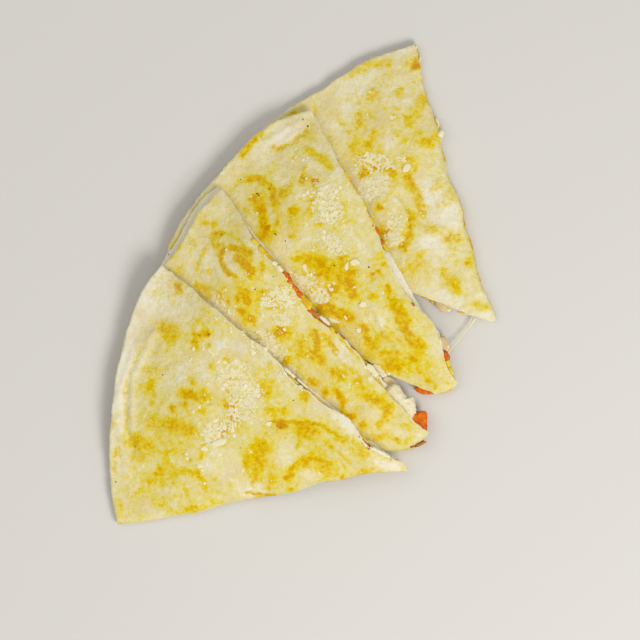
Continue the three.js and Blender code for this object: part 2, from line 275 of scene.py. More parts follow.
@dataclass(frozen=True)
class Browning:
    """Toasted spots and strokes, pale floury patches, ridges and creases, and blisters of a top."""

    spots: tuple[Oval, ...]
    strokes: tuple[Stroke, ...]
    pale: tuple[Oval, ...]
    relief: tuple[Stroke, ...]
    blisters: tuple[Oval, ...]

    def toast(self, point: np.ndarray, seed: int) -> np.ndarray:
        """Toast from 0 to about 1.2: one minus the product of (1 - shade) over all the marks.

        Points are first shifted by noise, so that every mark gets an uneven outline. A mottle lies
        under the marks, creases get painted shade as faint toast along their bottoms, and the
        strongest spots are charred.
        """
        warp, fray = (
            waves(point, seed, noise) + 1j * waves(point, seed + 7, noise)
            for noise in (OUTLINE_WARP, OUTLINE_FRAY)
        )
        moved = point + warp + fray
        spots = [spot_shade(moved, oval) for oval in self.spots]
        strokes = [
            stain(off_stroke(moved, mark), mark[-1], STROKE_CORE, STROKE_HALO)
            for mark in self.strokes
        ]
        left = np.ones(point.shape)
        for shade in spots + strokes:
            left = left * (1.0 - np.minimum(shade, MOST_SHADE))
        # Painted shade: each crease darkens towards toast colour along its bottom
        for mark in self.relief:
            if mark[-1] < 0:
                off = CREASE_NARROWED * off_stroke(point + 0.3 * warp, mark)
                left = left * (1.0 - CREASE_SHADE * np.exp(-(off ** 2)))
        charred = sum(CHAR * shade ** 4 for shade, oval in zip(spots, self.spots) if oval[-1] > 1.0)
        plain = np.clip(PLAIN_TOAST + waves(point, seed, *UNDER_MARKS), 0.0, MOST_PLAIN_TOAST)
        return 1.0 - left * (1.0 - plain) + charred

    def floury(self, point: np.ndarray, seed: int) -> np.ndarray:
        """Paleness from 0 to 2, from the pale patches and a broad noise; over 1 it hides toast."""
        moved = point + waves(point, seed, FLOUR_WARP)
        shade = sum(spot_shade(moved, oval) for oval in self.pale)
        return np.clip(shade + waves(point, seed, FLOUR), 0.0, MOST_FLOUR)

    def height(self, point: np.ndarray, seed: int) -> np.ndarray:
        """Height in mm: two sizes of soft lumps, ridges and creases, and domed blisters."""
        height = waves(point, seed, *LUMPS)
        for mark in self.relief:
            height = height + RELIEF * mark[-1] * np.exp(-(off_stroke(point, mark) ** 2))
        for oval in self.blisters:
            dome = np.clip(1.0 - off_oval(point, oval) ** 2, 0.0, 1.0)
            height = height + oval[-1] * np.sqrt(dome)
        return height


# Wedges

Steps = tuple[tuple[float, float, float], ...]


@dataclass(frozen=True)
class Wedge:
    """Plan and heights of one wedge, set out as in the CAD part.

    Corners are named from the tip. The bows say how far rim and tip stand out from the line
    between their corners; the steps are (place along the edge, half width, depth).
    """

    name: str
    tip_right: complex
    tip_left: complex
    rim_right: complex
    rim_left: complex
    rim_bow: tuple[float, ...]
    tip_bow: tuple[float, ...]
    fold: Fold
    top_right: Steps
    bottom_right: Steps
    left: Steps
    rim_step: float
    phase: float
    seed: int
    lower: Optional["Wedge"]
    browning: Browning

    @property
    def edges(self) -> tuple[complex, complex]:
        """Right and left edge as vectors from tip to rim."""
        return self.rim_right - self.tip_right, self.rim_left - self.tip_left

    def plan(self, u: np.ndarray, v: np.ndarray, layer: np.ndarray) -> np.ndarray:
        """Plan point: a blend by v from the bowed tip line to the bowed rim line, at share u.

        Args:
            u: Share from the right edge (0) to the left edge (1).
            v: Share from the tip (0) to the rim (1).
            layer: 0 for the underside, 1 for the top.

        Returns:
            Complex plan points in mm.
        """
        on_tip = bowed_line(self.tip_right, self.tip_left, self.tip_bow, u, -1.0)
        on_rim = bowed_line(self.rim_right, self.rim_left, self.rim_bow, u, 1.0)
        right, left = self.edges
        out = layer * steps_at(self.top_right, v * abs(right))
        out = out + (1.0 - layer) * steps_at(self.bottom_right, v * abs(right))
        left_out = 1j * left / abs(left) * steps_at(self.left, v * abs(left))
        point = mix(on_tip, on_rim, v)
        point = point - 1j * right / abs(right) * out * near_one(1.0 - u, EDGE_STEPS)
        point = point + left_out * near_one(u, EDGE_STEPS)
        pull = self.rim_step * layer * near_one(v, EDGE_STEPS)
        return point - (on_rim - on_tip) * pull / np.abs(on_rim - on_tip)

    def width(self, v: np.ndarray) -> np.ndarray:
        """Width across the wedge's underside at v."""
        low = np.zeros_like(v)
        return np.abs(self.plan(low, v, low) - self.plan(low + 1.0, v, low))

    def length(self) -> float:
        """Length of the wedge from tip to rim along its middle."""
        half, zero = np.array(0.5), np.array(0.0)
        return float(np.abs(self.plan(half, zero, zero) - self.plan(half, zero + 1.0, zero)))

    def rim_circle(self) -> tuple[complex, float]:
        """Centre and radius of the circle through the rim's corners and its middle."""
        a, c = self.rim_right, self.rim_left
        b = complex(bowed_line(a, c, self.rim_bow, np.array(0.5), 1.0))
        w = (c - a) / (b - a)
        centre = a + (b - a) * (w - abs(w) ** 2) / (w - w.conjugate())
        return centre, abs(centre - a)

    def filling(self, point: np.ndarray) -> np.ndarray:
        """Space between the two layers: deepest inside, thinner towards rim, tip and fold."""
        centre, radius = self.rim_circle()
        body = smooth((radius - np.abs(point - centre)) / RIM_BAND)
        from_tip = np.abs(point - (self.tip_right + self.tip_left) / 2)
        space = mix(RIM_FILLING, FILLING, body) * mix(TIP_SHARE, 1.0, smooth(from_tip / TIP_BAND))
        if self.fold is not Fold.TIP:
            on_left = self.fold is Fold.LEFT
            ends = (self.tip_left, self.rim_left) if on_left else (self.tip_right, self.rim_right)
            from_fold = left_of(*ends, point) * (-1.0 if on_left else 1.0)
            space = space * mix(FOLD_SHARE, 1.0, smooth(from_fold / FOLD_BAND))
        swell = np.sin(np.real(point) / SWELL_LENGTH + self.phase)
        swell = swell * np.cos(np.imag(point) / SWELL_LENGTH - self.phase)
        return space + SWELL * body * swell

    def underside(self, point: np.ndarray) -> np.ndarray:
        """Height of the underside: on the wedge below, then sinking to the surface past it."""
        lower = self.lower
        if lower is None:
            return np.zeros(point.shape)
        past_cut = np.maximum(0.0, left_of(lower.tip_left, lower.rim_left, point))
        past_tip = np.maximum(0.0, -left_of(lower.tip_left, lower.tip_right, point))
        past = np.maximum(0.0, np.hypot(past_cut, past_tip) - BRIDGE)
        return smooth(1.0 - past / DRAPE) * (lower.top(point) + CLEARANCE)

    def top(self, point: np.ndarray) -> np.ndarray:
        """Height of the top, before the fold is rounded."""
        return self.underside(point) + 2.0 * TORTILLA + self.filling(point)


BROWN_A = Browning(
    spots=(
        (-60.2, -1.4, 6, 3.6, 80, 0.9), (-71.2, -4.6, 7, 5.4, 0.35),
        (-65.4, -22.6, 12.6, 9, -20, 0.8), (-52.3, -27.6, 9, 4, 90, 0.8), (-47.8, -23.5, 4, 0.7),
        (-45.1, -29.8, 3, 0.5), (-36.5, -36.6, 4, 0.7), (-74.8, -49.2, 8, 5, 90, 0.6),
        (-76.6, -42, 4, 0.4), (-54, -47, 7, 3, -45, 0.7), (-44.2, -38.8, 5, 2.7, 90, 0.6),
        (-57.3, -52.4, 9, 4.5, 0.8), (-63.6, -67.6, 8, 0.8), (-54.1, -70.3, 6.8, 6.3, 0.9),
        (-63.3, -59.4, 3, 0.9), (-57.3, -58.5, 3.6, 2.7, 0.8), (-55, -54.5, 7, 2.7, 0.9),
        (-47.8, -54, 6, 4.5, 0.8), (-80.7, -75.7, 6, 4, 70, 0.8), (-76.6, -78, 7, 5, -20, 0.5),
        (-73.9, -64.4, 4.5, 0.4), (-38.8, -71.2, 6, 0.9), (-33.4, -64.9, 9, 4, 70, 0.8),
        (-35.6, -58.6, 5, 4.5, 0.8), (-48.7, -78.8, 12, 3, 60, 0.5), (-55, -85.1, 2.7, 2.3, 0.8),
        (-49.6, -83.8, 5, 2.3, 60, 0.7), (-70.8, -92.3, 8, 4, 60, 0.8),
        (-74.4, -95.5, 7, 3.5, 60, 0.6), (-51.4, -91, 4.5, 2.7, -30, 0.7),
        (-48.2, -96.9, 8, 3, -75, 0.8), (-56.8, -101.8, 4, 3, -60, 0.7), (-70.8, -106.3, 9, 8, 0.5),
        (-54.6, -109.5, 6, 3.6, 20, 0.8), (-43.7, -105.9, 2.7, 2.3, 0.7),
        (-39.7, -105.9, 2.7, 1.8, 0.8), (-42.8, -94.2, 2.5, 0.6), (-34.7, -97.8, 2.7, 0.6),
        (-27.1, -86.9, 9, 3, 90, 0.8), (-92, -82.4, 6, 3.6, 90, 0.6),
        (-92.4, -88.7, 7, 2.3, 90, 0.5), (-89.7, -109.9, 9, 4.5, -70, 0.45),
        (-80.7, -102.3, 4.5, 2.3, 80, 0.5), (-66.7, -82, 2.7, 0.5), (-18.2, -50.8, 9, 0.6),
        (-15.9, -40, 4.5, 2.7, 80, 0.5), (1.2, -54.4, 6, 0.8), (-10, -61.1, 6, 4, 0.7),
        (-16.4, -60.7, 6.5, 5.4, 0.6), (-10.9, -68, 6.3, 3.6, 1.1), (2.1, -71.5, 12, 7.5, 0.85),
        (-2.4, -76.9, 5.4, 2.7, 80, 0.7), (-19.1, -79.6, 7, 0.8), (-5.4, -100, 4, 3, 0.8),
        (12, -90.6, 12, 8, 0.6), (-22.8, -85.7, 10, 7, 90, 0.8), (-23.8, -94.1, 6, 4, 90, 0.7),
        (-14.9, -94.6, 6, 4, 80, 0.7), (-15.9, -99.6, 4, 3, 0.5), (18.4, -93.6, 3, 1.5, 10, 0.9),
        (31.3, -90.6, 7, 2.5, 10, 0.7), (19.9, -76.2, 3, 2.5, 0.7), (28.8, -82.2, 7.5, 5, -40, 0.4),
        (-45.6, -23.6, 3, 2, 40, 1.15), (-50, -24.5, 2, 1.1), (29, -80, 22, 8, -38, 0.4),
        (-80, -97, 22, 26, 0.22), (-78, -58, 14, 36, 0.2),
    ),
    strokes=(
        ((-7.9, -93.6, -2, -86.6, 5.5, -84.7, 12, -87), 4, 0.8),
        ((-69, -98, -65, -92.5, -57, -90.6, -50, -93.5), 3, 0.45),
        ((-50, -111.5, -58, -114, -65.5, -110.5), 3, 0.4),
        ((-28, -101.5, -17, -103, -7, -104.4), 1.4, 0.9),
        ((-14.6, -65.6, -4, -66.6, 6.6, -67, 19, -74), 1.6, 0.7),
    ),
    pale=(
        (-71, 4, 16, 9, 30, 0.9), (-80, -14, 26, 8, 62, 0.9), (-87.5, -42, 40, 8, 80, 0.9),
        (-90.5, -76, 44, 6, 92, 0.7), (-75, -32, 14, 5, 60, 0.7), (-25, -99, 12, 9, 0.9),
        (3, -92.1, 8, 5, 0.7), (-57.7, -103, 12, 11, 0.35), (-38, -50, 14, 10, 40, 0.4),
        (-66, -8, 22, 10, 40, 0.5), (-48, -8, 14, 10, 0.4), (-86, -60, 16, 6, 90, 0.5),
        (19, -66.2, 16, 4.4, -44, 2.2), (37.5, -86.4, 9, 3.4, -22, 2), (45, -88.6, 9, 3, -14, 1),
        (6, -58, 12, 4, -40, 0.5),
    ),
    relief=(
        ((-73, -23.5, -81.6, -33.9, -86.1, -43.8, -89.7, -53.6), 5, 0.75),
        ((-89.7, -53.6, -91, -67, -87.5, -80.6, -86.1, -94), 4, 0.35),
        ((-87, -50.6, -86.4, -60, -86.1, -69.4, -82.5, -80.6), 3.6, -0.55),
        ((-75.3, -30.3, -83, -44, -83.4, -53.6, -84, -68.5), 3.2, 0.6),
        ((-79, -30, -85, -43, -86.4, -52), 2.6, -0.5), ((-67.2, -39.3, -59, -36.6), 1.2, -0.35),
        ((-14.6, -65.6, 6.6, -67, 19, -74), 1.5, -0.35),
        ((12, -76.7, 19, -83, 26.4, -91.1), 1.4, -0.45), ((17.4, -84.2, 21.9, -91.6), 1.4, -0.35),
        ((-28, -101.5, -17, -103, -7, -104.4), 1.6, -0.45),
        ((-38, -50, -32, -58, -31, -64), 1.6, -0.3),
    ),
    blisters=((-57.7, -102.3, 23, 0.5), (-80, -72, 10, 16, 0.5), (3, -92, 11, 8, 0.4)),
)

BROWN_B = Browning(
    spots=(
        (-47.9, 30.7, 4.5, 3.5, -40, 0.75), (-43.3, 29.5, 4.5, 3.5, -30, 0.8),
        (-40.8, 24.9, 6, 3, 10, 0.75), (-43.7, 21.1, 5, 2.5, 90, 0.8), (-41.6, 19, 4, 0.75),
        (-45.4, 6.8, 2.5, 0.5), (-19.4, 8.5, 5.5, 2, 75, 0.8), (-49.6, -1.1, 7.5, 3.4, -20, 0.7),
        (-40.4, -4.9, 4, 2.5, 90, 0.6), (-36.6, -7.9, 2.5, 0.7), (-30.7, -3.2, 3, 2.5, 0.8),
        (-31.6, -7, 2.5, 2, 0.8), (-27, -4.5, 7.6, 3.8, 90, 0.9), (-26.5, -8.3, 4, 3, 0.9),
        (-19.8, -3.2, 4, 3, 0.6), (-29.5, -13.3, 6.3, 4.5, -25, 1),
        (-24.9, -16.7, 6.3, 4.5, -35, 0.9), (-28.2, -18.3, 2.5, 0.6),
        (-14.8, -9.5, 5, 2.5, -55, 0.9), (-11, -23, 7, 6.8, 1), (-21.1, -29.2, 6.3, 2.2, -20, 0.9),
        (-1.2, -32.4, 6, 2.7, 90, 0.75), (-8.4, -36.4, 4, 3.6, 0.9),
        (4.7, -34.6, 5.4, 3.6, 90, 0.85), (15.5, -42.3, 6, 5, 0.9), (19.5, -44.5, 4.5, 3.6, 0.8),
        (5.1, -46.8, 7.5, 5, -20, 0.8), (26.7, -46.8, 6.3, 4.5, 0.7), (11, -52.6, 5.5, 4, 70, 0.8),
        (34.4, -55.3, 9, 5, 0.9), (39.8, -59.4, 7, 4.5, -80, 0.8), (29.6, -68.3, 5, 3.6, 10, 0.85),
        (35.9, -75.4, 3.6, 3, 0.8), (39.2, -73.9, 3.6, 3, 0.75), (46.4, -76.1, 4, 3, -60, 0.9),
        (46, -68.3, 2.5, 2, 0.4), (52.3, -74.2, 3, 0.4), (50.8, -69, 4, 3, 0.5),
        (-2, -30, 18, 26, 40, 0.25), (-34, 28, 16, 10, -50, 0.3),
    ),
    strokes=(
        ((-53.4, 33.3, -58.4, 27), 3, 0.8), ((-60.9, 18.6, -66.4, 13.1), 3, 0.9),
        ((-33.7, 4, -37, 6, -38.7, 8.9, -40.4, 14, -37.9, 17.3, -33.7, 18.2, -29.5, 17.3, -26.1,
         15.2), 3, 1),
        ((-31.6, 13.1, -27.8, 9.8, -25.3, 6.4), 5.5, 1),
        ((-47.1, 17.7, -50.5, 9.8, -52.1, 6.4), 2, 0.6),
        ((5.6, -23.3, 6.9, -28.7, 7.4, -33.3, 9.2, -36.9), 4, 0.85),
        ((10.5, -24.2, 15.5, -31.9), 2.5, 0.7),
        ((16.5, -52.1, 19.2, -56.2, 19.2, -61.6, 23.8, -64.3), 3.5, 0.95),
        ((37, -68.5, 40.5, -65.5, 41, -61), 3, 0.8),
    ),
    pale=(
        (19, -32, 16, 8, -50, 0.9), (-35, 11, 7, 9, -40, 0.7), (-55, 12, 14, 10, 30, 0.4),
        (-17, 2, 14, 6, -55, 0.5), (34, -62, 6, 0.5), (47, -72, 14, 5, -20, 0.4),
        (-49, -8, 20, 24, 0.4),
    ),
    relief=(
        ((14, -26, 18, -31.5, 24, -38), 2.2, 0.5), ((12, -29, 16, -34, 21, -39.5), 2, -0.35),
        ((17, -24, 21.5, -30, 27, -36), 2, -0.35), ((-41, 27, -34, 24, -26, 17), 2, -0.3),
        ((-55, 26, -49, 15, -47, 4), 3.2, 0.35),
    ),
    blisters=((-33.5, 11.5, 15, 16, -30, 0.45), (34.1, -62.5, 14, 0.5)),
)

BROWN_C = Browning(
    spots=(
        (-20, 73.9, 4, 2.5, 40, 0.5), (-3, 62.9, 4.6, 3.4, 80, 0.5), (5.6, 49.9, 4.4, 4.2, 1.1),
        (-0.2, 52, 5.5, 2, 80, 0.9), (1, 56.7, 4, 2.5, 60, 0.7), (4, 40.7, 4, 2.5, 0.6),
        (-17, 27.7, 2.4, 1.25), (-16.6, 24.4, 4, 0.9), (-9.1, 44.5, 5, 4.6, 0.85),
        (-12.8, 30.2, 7, 2, 85, 0.75), (-4.9, 36.5, 6.3, 5.5, 0.9), (-4.4, 29.4, 6, 0.5),
        (-4.9, 23.9, 4, 3, -30, 0.8), (-6.1, 47.8, 8, 2.5, 60, 0.5), (-9.1, 52.9, 2.5, 2, 0.35),
        (-16.2, 55.8, 4, 2, -20, 0.5), (-33, 48.7, 3, 2, 60, 0.6), (-27.9, 36.1, 2.5, 0.3),
        (-27.9, 23.9, 3.5, 1.3, -60, 0.7), (7.7, 30.2, 4, 0.55), (15.7, 32.3, 2.5, 0.5),
        (2.7, 12.6, 8, 6, 0.85), (8.5, 10.3, 6, 0.9), (10.3, 5.3, 7, 4.5, -20, 0.95),
        (-3.2, 12.6, 5, 4, 0.6), (18.9, 12.6, 4, 3, 0.9), (18.9, 8.9, 4, 3, 0.8),
        (23, 5.3, 6, 4, 80, 0.95), (20.7, 1.7, 9, 5.4, -20, 0.95), (24.3, -3.7, 7, 5, 90, 0.9),
        (14, -1.9, 7, 5.4, 1), (33.8, 5.3, 2, 1.15), (36, 6.2, 2.7, 0.8),
        (41.4, -1.9, 5.4, 4, 90, 0.85), (34.2, -5.5, 5.4, 3, 0.8), (16.7, -19.4, 4, 0.9),
        (36.9, -25.3, 6.5, 5, 80, 0.6), (56.4, -28.7, 6, 5, -60, 0.9), (45.7, -33.7, 3, 2, 40, 0.8),
        (40.5, -33.2, 3, 2, 0.6), (43.7, -38.9, 10, 6, -20, 0.8), (53.7, -35.9, 4.5, 3, 0.75),
        (57.9, -43.1, 3, 2.3, 0.95), (61.4, -38.9, 4, 3, 0.5), (46.7, -27.4, 5, 1.5, -45, 0.5),
        (60.8, -46.8, 3, 2.2, 0.7), (64.6, -50.1, 2.2, 1.8, 0.85), (50, -36, 34, 15, -36, 0.42),
        (29, -33, 16, 9, -45, 0.4),
    ),
    strokes=(
        ((-23.3, 71.8, -29.2, 63.8), 3, 0.9), ((-12, 66.3, 1.9, 73.9), 3.2, 0.6),
        ((2.3, 65.9, 4.4, 63.8, 10.2, 60.9, 13.6, 57.1), 4, 0.65),
        ((-27.1, 51.2, -24.2, 52.5, -20.4, 52, -17, 49.1, -14.5, 46.6, -12.8, 43.2, -13.2, 39.5), 4,
         0.85),
        ((-24.6, 42, -21.6, 40.7, -20.4, 36.1, -19.5, 31.1, -18.7, 26.9, -20, 23.5), 5, 0.9),
        ((8.5, -11.3, 13, -12, 23, -15.8), 5.5, 0.95),
        ((29.3, -20.3, 31.1, -25.3, 33.3, -29.3), 3.5, 0.9),
        ((43.7, -8.2, 45.5, -12.7, 48.2, -19.4, 51.4, -25.3, 55.9, -29.3), 4.5, 0.9),
        ((46.4, -7.7, 50, -14.9, 51.8, -18.5), 2.5, 0.7),
    ),
    pale=(
        (-8, 73, 18, 8, 27, 1), (5.6, 49.9, 12, 11, 0.35), (-20, 62, 14, 8, 40, 0.5),
        (37, -16, 9, 16, 35, 0.6), (30, 14, 12, 10, -50, 0.4), (-6, 60, 12, 8, 20, 0.5),
        (60, -45, 10, 6, -30, 0.2), (47, -34, 8, 5, 0.2), (25, -25, 8, 0.3),
    ),
    relief=(
        ((-12, 66.5, -5, 70, 2, 76), 1.8, -0.5), ((-17.9, 69.7, -7, 77.2, -0.2, 80.6), 3, 0.35),
        ((-22, 73.9, -19.5, 71.3), 1, -0.35), ((44, -12, 47, -20, 52, -27), 1.8, 0.35),
        ((48, -11, 52, -20, 56, -26), 1.8, 0.35), ((46, -12, 49.5, -20, 54, -27), 1.4, -0.3),
        ((33, -8, 38, -20, 46, -31), 3, 0.35),
    ),
    blisters=((5.6, 49.9, 11, 0.4), (0, 30, 16, 12, 20, 0.35), (37, -17, 10, 20, 30, 0.4)),
)

BROWN_D = Browning(
    spots=(
        (42.3, 108.1, 6, 2.7, 75, 0.6), (55, 107.7, 6, 5, 60, 1.05), (50.5, 109, 5, 4, 0.4),
        (34.2, 94.2, 6.3, 6, 0.6), (47.3, 94.2, 5.4, 4.5, 0.65), (18.7, 78.8, 3, 2.7, 0.7),
        (22.5, 75.2, 2.5, 2.3, 0.6), (26.6, 79.3, 3, 2.7, 0.75), (27, 83.3, 5, 4, 80, 0.5),
        (40.1, 86, 2, 0.4), (34.2, 73.4, 6.3, 2.7, 65, 0.8), (23.4, 67.1, 4.5, 3.6, 90, 0.6),
        (31.5, 68, 5.4, 3.6, -40, 0.8), (44.6, 81.5, 4, 2.7, 70, 0.5), (46, 73, 2.5, 2, 0.6),
        (50, 71.2, 3, 2.5, 0.6), (61.3, 69.4, 6, 5.4, -40, 0.65), (52.7, 61.3, 6.5, 0.65),
        (54.5, 56.3, 2.7, 1.5, 30, 0.9), (51.4, 52.2, 4, 3, 0.7), (-5.4, 83.8, 4, 2.5, 30, 0.7),
        (27.7, 38.2, 4.8, 2.4, 90, 1.05), (36.9, 37.7, 3.4, 2.9, 0.95), (65.3, 48.3, 5.3, 0.6),
        (68.7, 39.2, 5.3, 4.8, 0.55), (39.8, 25.2, 8, 6, 70, 0.85), (62.9, 27.1, 12, 4.3, 0.6),
        (73, 22.8, 10.6, 6.7, 0.65), (57.6, 15.1, 6.3, 3.4, 15, 0.6), (56.6, 8.4, 14, 8.7, 0.45),
        (48.9, 6.9, 2.9, 0.7), (69.1, 5.9, 5.3, 3.4, -70, 0.75), (73.9, 1.1, 7, 0.6),
        (75.4, -2.7, 5, 4, 0.6), (81.2, 11.7, 4.3, 3.4, 90, 0.65), (75.4, 10.8, 2.4, 0.5),
        (72, 14.6, 4.8, 2.9, 0.45), (85.5, -10.4, 6.3, 4.8, 0.55), (89.4, -11.4, 3, 2.5, 0.65),
        (79.7, -9.9, 3, 2.5, 0.5),
    ),
    strokes=(
        ((25.2, 104.1, 31.3, 107.7, 41, 109.9), 4, 0.65), ((59, 91.5, 51.4, 80.6), 6, 0.65),
        ((28.4, 53.1, 32, 55.9, 36.9, 57.7, 42.3, 56.3, 44.6, 53.6), 3, 0.8),
        ((50.8, 53.6, 54.2, 46.4, 56.6, 41.6, 59, 36.8), 5, 0.7),
        ((52.8, 35.8, 53.7, 31.9, 51.8, 27.6, 51.8, 21.4, 48.9, 18), 4, 0.7),
    ),
    pale=(
        (62.7, 44.6, 16, 12, -40, 0.9), (73, 34, 12, 9, -60, 0.9), (62.7, 20.7, 14, 6, 0.8),
        (66, -5, 26, 7, -22, 0.7), (66, 34, 8, 0.5), (57, 112, 8, 6, 60, 0.8), (58, 100, 10, 0.3),
        (88, -15, 10, 3, -25, 0.7), (42, 97, 12, 10, 0.3), (24, 87, 46, 20, 40, 0.6),
        (64, 18, 20, 26, 0.35),
    ),
    relief=(
        ((46, 45, 51.3, 35.8, 51.8, 26.2, 48.9, 19.9, 41.7, 17.5), 1.6, -0.5),
        ((61.5, 68, 61, 72, 58, 76), 2, 0.2),
    ),
    blisters=(
        (41.5, 32, 20, 26, 10, 0.9), (65.3, 48.3, 8, 0.35), (68.7, 39.2, 8, 7, 0.35),
        (73.5, 0, 12, 11, 0.4), (62, 26, 18, 8, 0.35), (52.7, 61.3, 11, 0.35),
    ),
)

WEDGE_D = Wedge(
    "d", 95.1 - 15.2j, 92.6 - 18.0j, 56.0 + 117.9j, -45.8 + 32.6j,
    (0, 6.1, 10.1, 12.0, 13.5, 16.0, 16.6, 15.2, 11.8, 6.8, 0), (0, 0.6, 0), Fold.RIGHT,
    ((22, 16, -3.1), (46, 10, -2.0), (73, 12, -3.5), (87, 6, -1.6), (114, 14, -2.8)),
    ((22, 16, -3.1), (46, 10, -2.0), (73, 12, -3.5), (87, 6, -1.6), (114, 14, -2.8)),
    ((15, 4, 0.8),), 0.0, 4.6, 401, None, BROWN_D,
)
WEDGE_C = Wedge(
    "c", 75.9 - 47.9j, 65.6 - 53.6j, 3.9 + 84.8j, -67.2 + 13.8j,
    (0, 6.2, 9.8, 11.3, 10.5, 9.7, 9.6, 8.7, 7.2, 4.2, 0), (0, 1.2, 1.5, 0.8, 0), Fold.TIP,
    ((9, 6, -1.4), (31, 9, 2.9), (50, 7, -2.0), (61, 9, -1.9), (72, 9, -2.3), (96, 18, 0.8)),
    ((27, 11, 3.2), (48, 8, 0.8), (64, 12, 0.9)),
    ((24, 14, 1.6),), 0.0, 3.1, 301, WEDGE_D, BROWN_C,
)
WEDGE_B = Wedge(
    "b", 61.9 - 72.0j, 37.5 - 81.2j, -41.6 + 48.4j, -89.0 - 56.0j,
    (0, 4.3, 6.3, 7.2, 9.2, 9.6, 9.2, 8.0, 6.0, 3.3, 0), (0, 4.2, 4.2, 2.6, 0), Fold.TIP,
    ((8, 6, -1.2), (30, 22, -3.6), (84, 22, -5.6), (122, 20, -3.8)),
    ((30, 22, -1.0), (80, 24, -3.4), (122, 20, -1.5)), (), 2.6, 1.9, 201, WEDGE_C, BROWN_B,
)
WEDGE_A = Wedge(
    "a", 50.6 - 89.3j, 50.9 - 91.2j, -68.9 + 9.6j, -91.1 - 116.4j,
    (0, 6.5, 9.6, 11.6, 12.2, 12.2, 11.5, 10.1, 7.9, 4.6, 0), (0, 0.4, 0), Fold.LEFT,
    ((20, 9, -3.6), (51, 7, -2.4), (68, 9, -3.0)), ((26, 8, -1.5),),
    ((20, 14, -2.7), (42, 8, -1.9), (60, 6, 0.6), (106, 12, 2.2), (130, 14, 2.0)),
    0.0, 0.4, 101, WEDGE_B, BROWN_A,
)


# Mesh building

Faces = list[tuple[int, ...]]


def to_space(point: np.ndarray, height: np.ndarray) -> np.ndarray:
    """Plan points and heights as an array of x, y, z."""
    return np.stack([np.real(point), np.imag(point), np.broadcast_to(height, point.shape)], axis=-1)


def unit(vectors: np.ndarray) -> np.ndarray:
    """Vectors along the last axis, scaled to length 1."""
    return vectors / np.maximum(np.linalg.norm(vectors, axis=-1, keepdims=True), 1e-9)


def grid_normals(grid: np.ndarray) -> np.ndarray:
    """Unit normals of a grid of points: the cross product of its two gradients."""
    return unit(np.cross(np.gradient(grid, axis=0), np.gradient(grid, axis=1)))


def grid_quads(rows: int, columns: int, wrap: bool = False) -> np.ndarray:
    """Quads of a grid whose points are numbered row by row, joined round if wrapped."""
    i, j = np.meshgrid(np.arange(rows - 1), np.arange(columns - (not wrap)), indexing="ij")
    k = (j + 1) % columns
    corners = (i * columns + j, (i + 1) * columns + j, (i + 1) * columns + k, i * columns + k)
    return np.stack([c.ravel() for c in corners], axis=1)


@dataclass(frozen=True)
class Skin:
    """Closed surface between two grids: its points in mm, its outward quads, and how many of the
    last points belong to the rings that join the grids' sides."""

    points: np.ndarray
    faces: np.ndarray
    sides: int


def skin_between(outer: np.ndarray, inner: np.ndarray, bulge: float) -> Skin:
    """Joins two grids into a closed skin; three rings bulge out like a sine between their sides.

    Args:
        outer: Grid of x, y, z facing out.
        inner: Grid of the opposite side.
        bulge: Greatest reach of the sides past the edge, in mm.

    Returns:
        The closed skin, turned so that it faces outwards where outer faces up.
    """
    rows, columns = outer.shape[:2]
    number = np.arange(rows * columns).reshape(rows, columns)
    edge, inward = (
        np.concatenate([
            number[:, k], number[-1 - k, 1:], number[-2::-1, -1 - k], number[k, -2:0:-1],
        ]) for k in (0, 2)
    )
    a, b = outer.reshape(-1, 3), inner.reshape(-1, 3)
    out = unit(((a + b)[edge] - (a + b)[inward]) * (1.0, 1.0, 0.3))
    shares = (0.16, 0.5, 0.84)
    rings = [
        mix(a[edge], b[edge], share) + out * bulge * math.sin(math.pi * share) for share in shares
    ]
    half, count = rows * columns, len(edge)
    between = [2 * half + k * count + np.arange(count) for k in range(len(shares))]
    levels = [edge, *between, half + edge]
    strips = [
        np.stack([np.roll(upper, -1), upper, lower, np.roll(lower, -1)], axis=1)
        for upper, lower in zip(levels[:-1], levels[1:])
    ]
    quads = grid_quads(rows, columns)
    faces = np.concatenate([quads, quads[:, ::-1] + half, *strips])
    if grid_normals(outer)[4, columns // 2, 2] < 0:
        faces = faces[:, ::-1]
    return Skin(np.concatenate([a, b, *rings]), faces, len(shares) * count)


def capped_rings(rings: np.ndarray, start: np.ndarray, end: np.ndarray) -> tuple[np.ndarray, Faces]:
    """Closed tube through rings of points, with a fan to one point at each end.

    Args:
        rings: Array (ring, point round it, 3), turning left as seen from the start.
        start: Pole before the first ring.
        end: Pole after the last ring.

    Returns:
        Points and faces.
    """
    count, sides = rings.shape[:2]
    points = np.concatenate([rings.reshape(-1, 3), start[None], end[None]])
    here = np.arange(sides)
    after, last = (here + 1) % sides, (count - 1) * sides
    first_pole, last_pole = (np.full(sides, count * sides + k) for k in (0, 1))
    faces = grid_quads(count, sides, wrap=True).tolist()
    faces += np.stack([first_pole, here, after], axis=1).tolist()
    faces += np.stack([last_pole, last + after, last + here], axis=1).tolist()
    return points, faces


def joined(parts: Sequence[tuple[np.ndarray, Faces]]) -> tuple[np.ndarray, Faces]:
    """Several meshes as one."""
    points, faces, first = [], [], 0
    for part_points, part_faces in parts:
        points.append(part_points)
        faces += [tuple(corner + first for corner in face) for face in part_faces]
        first += len(part_points)
    return np.concatenate(points), faces


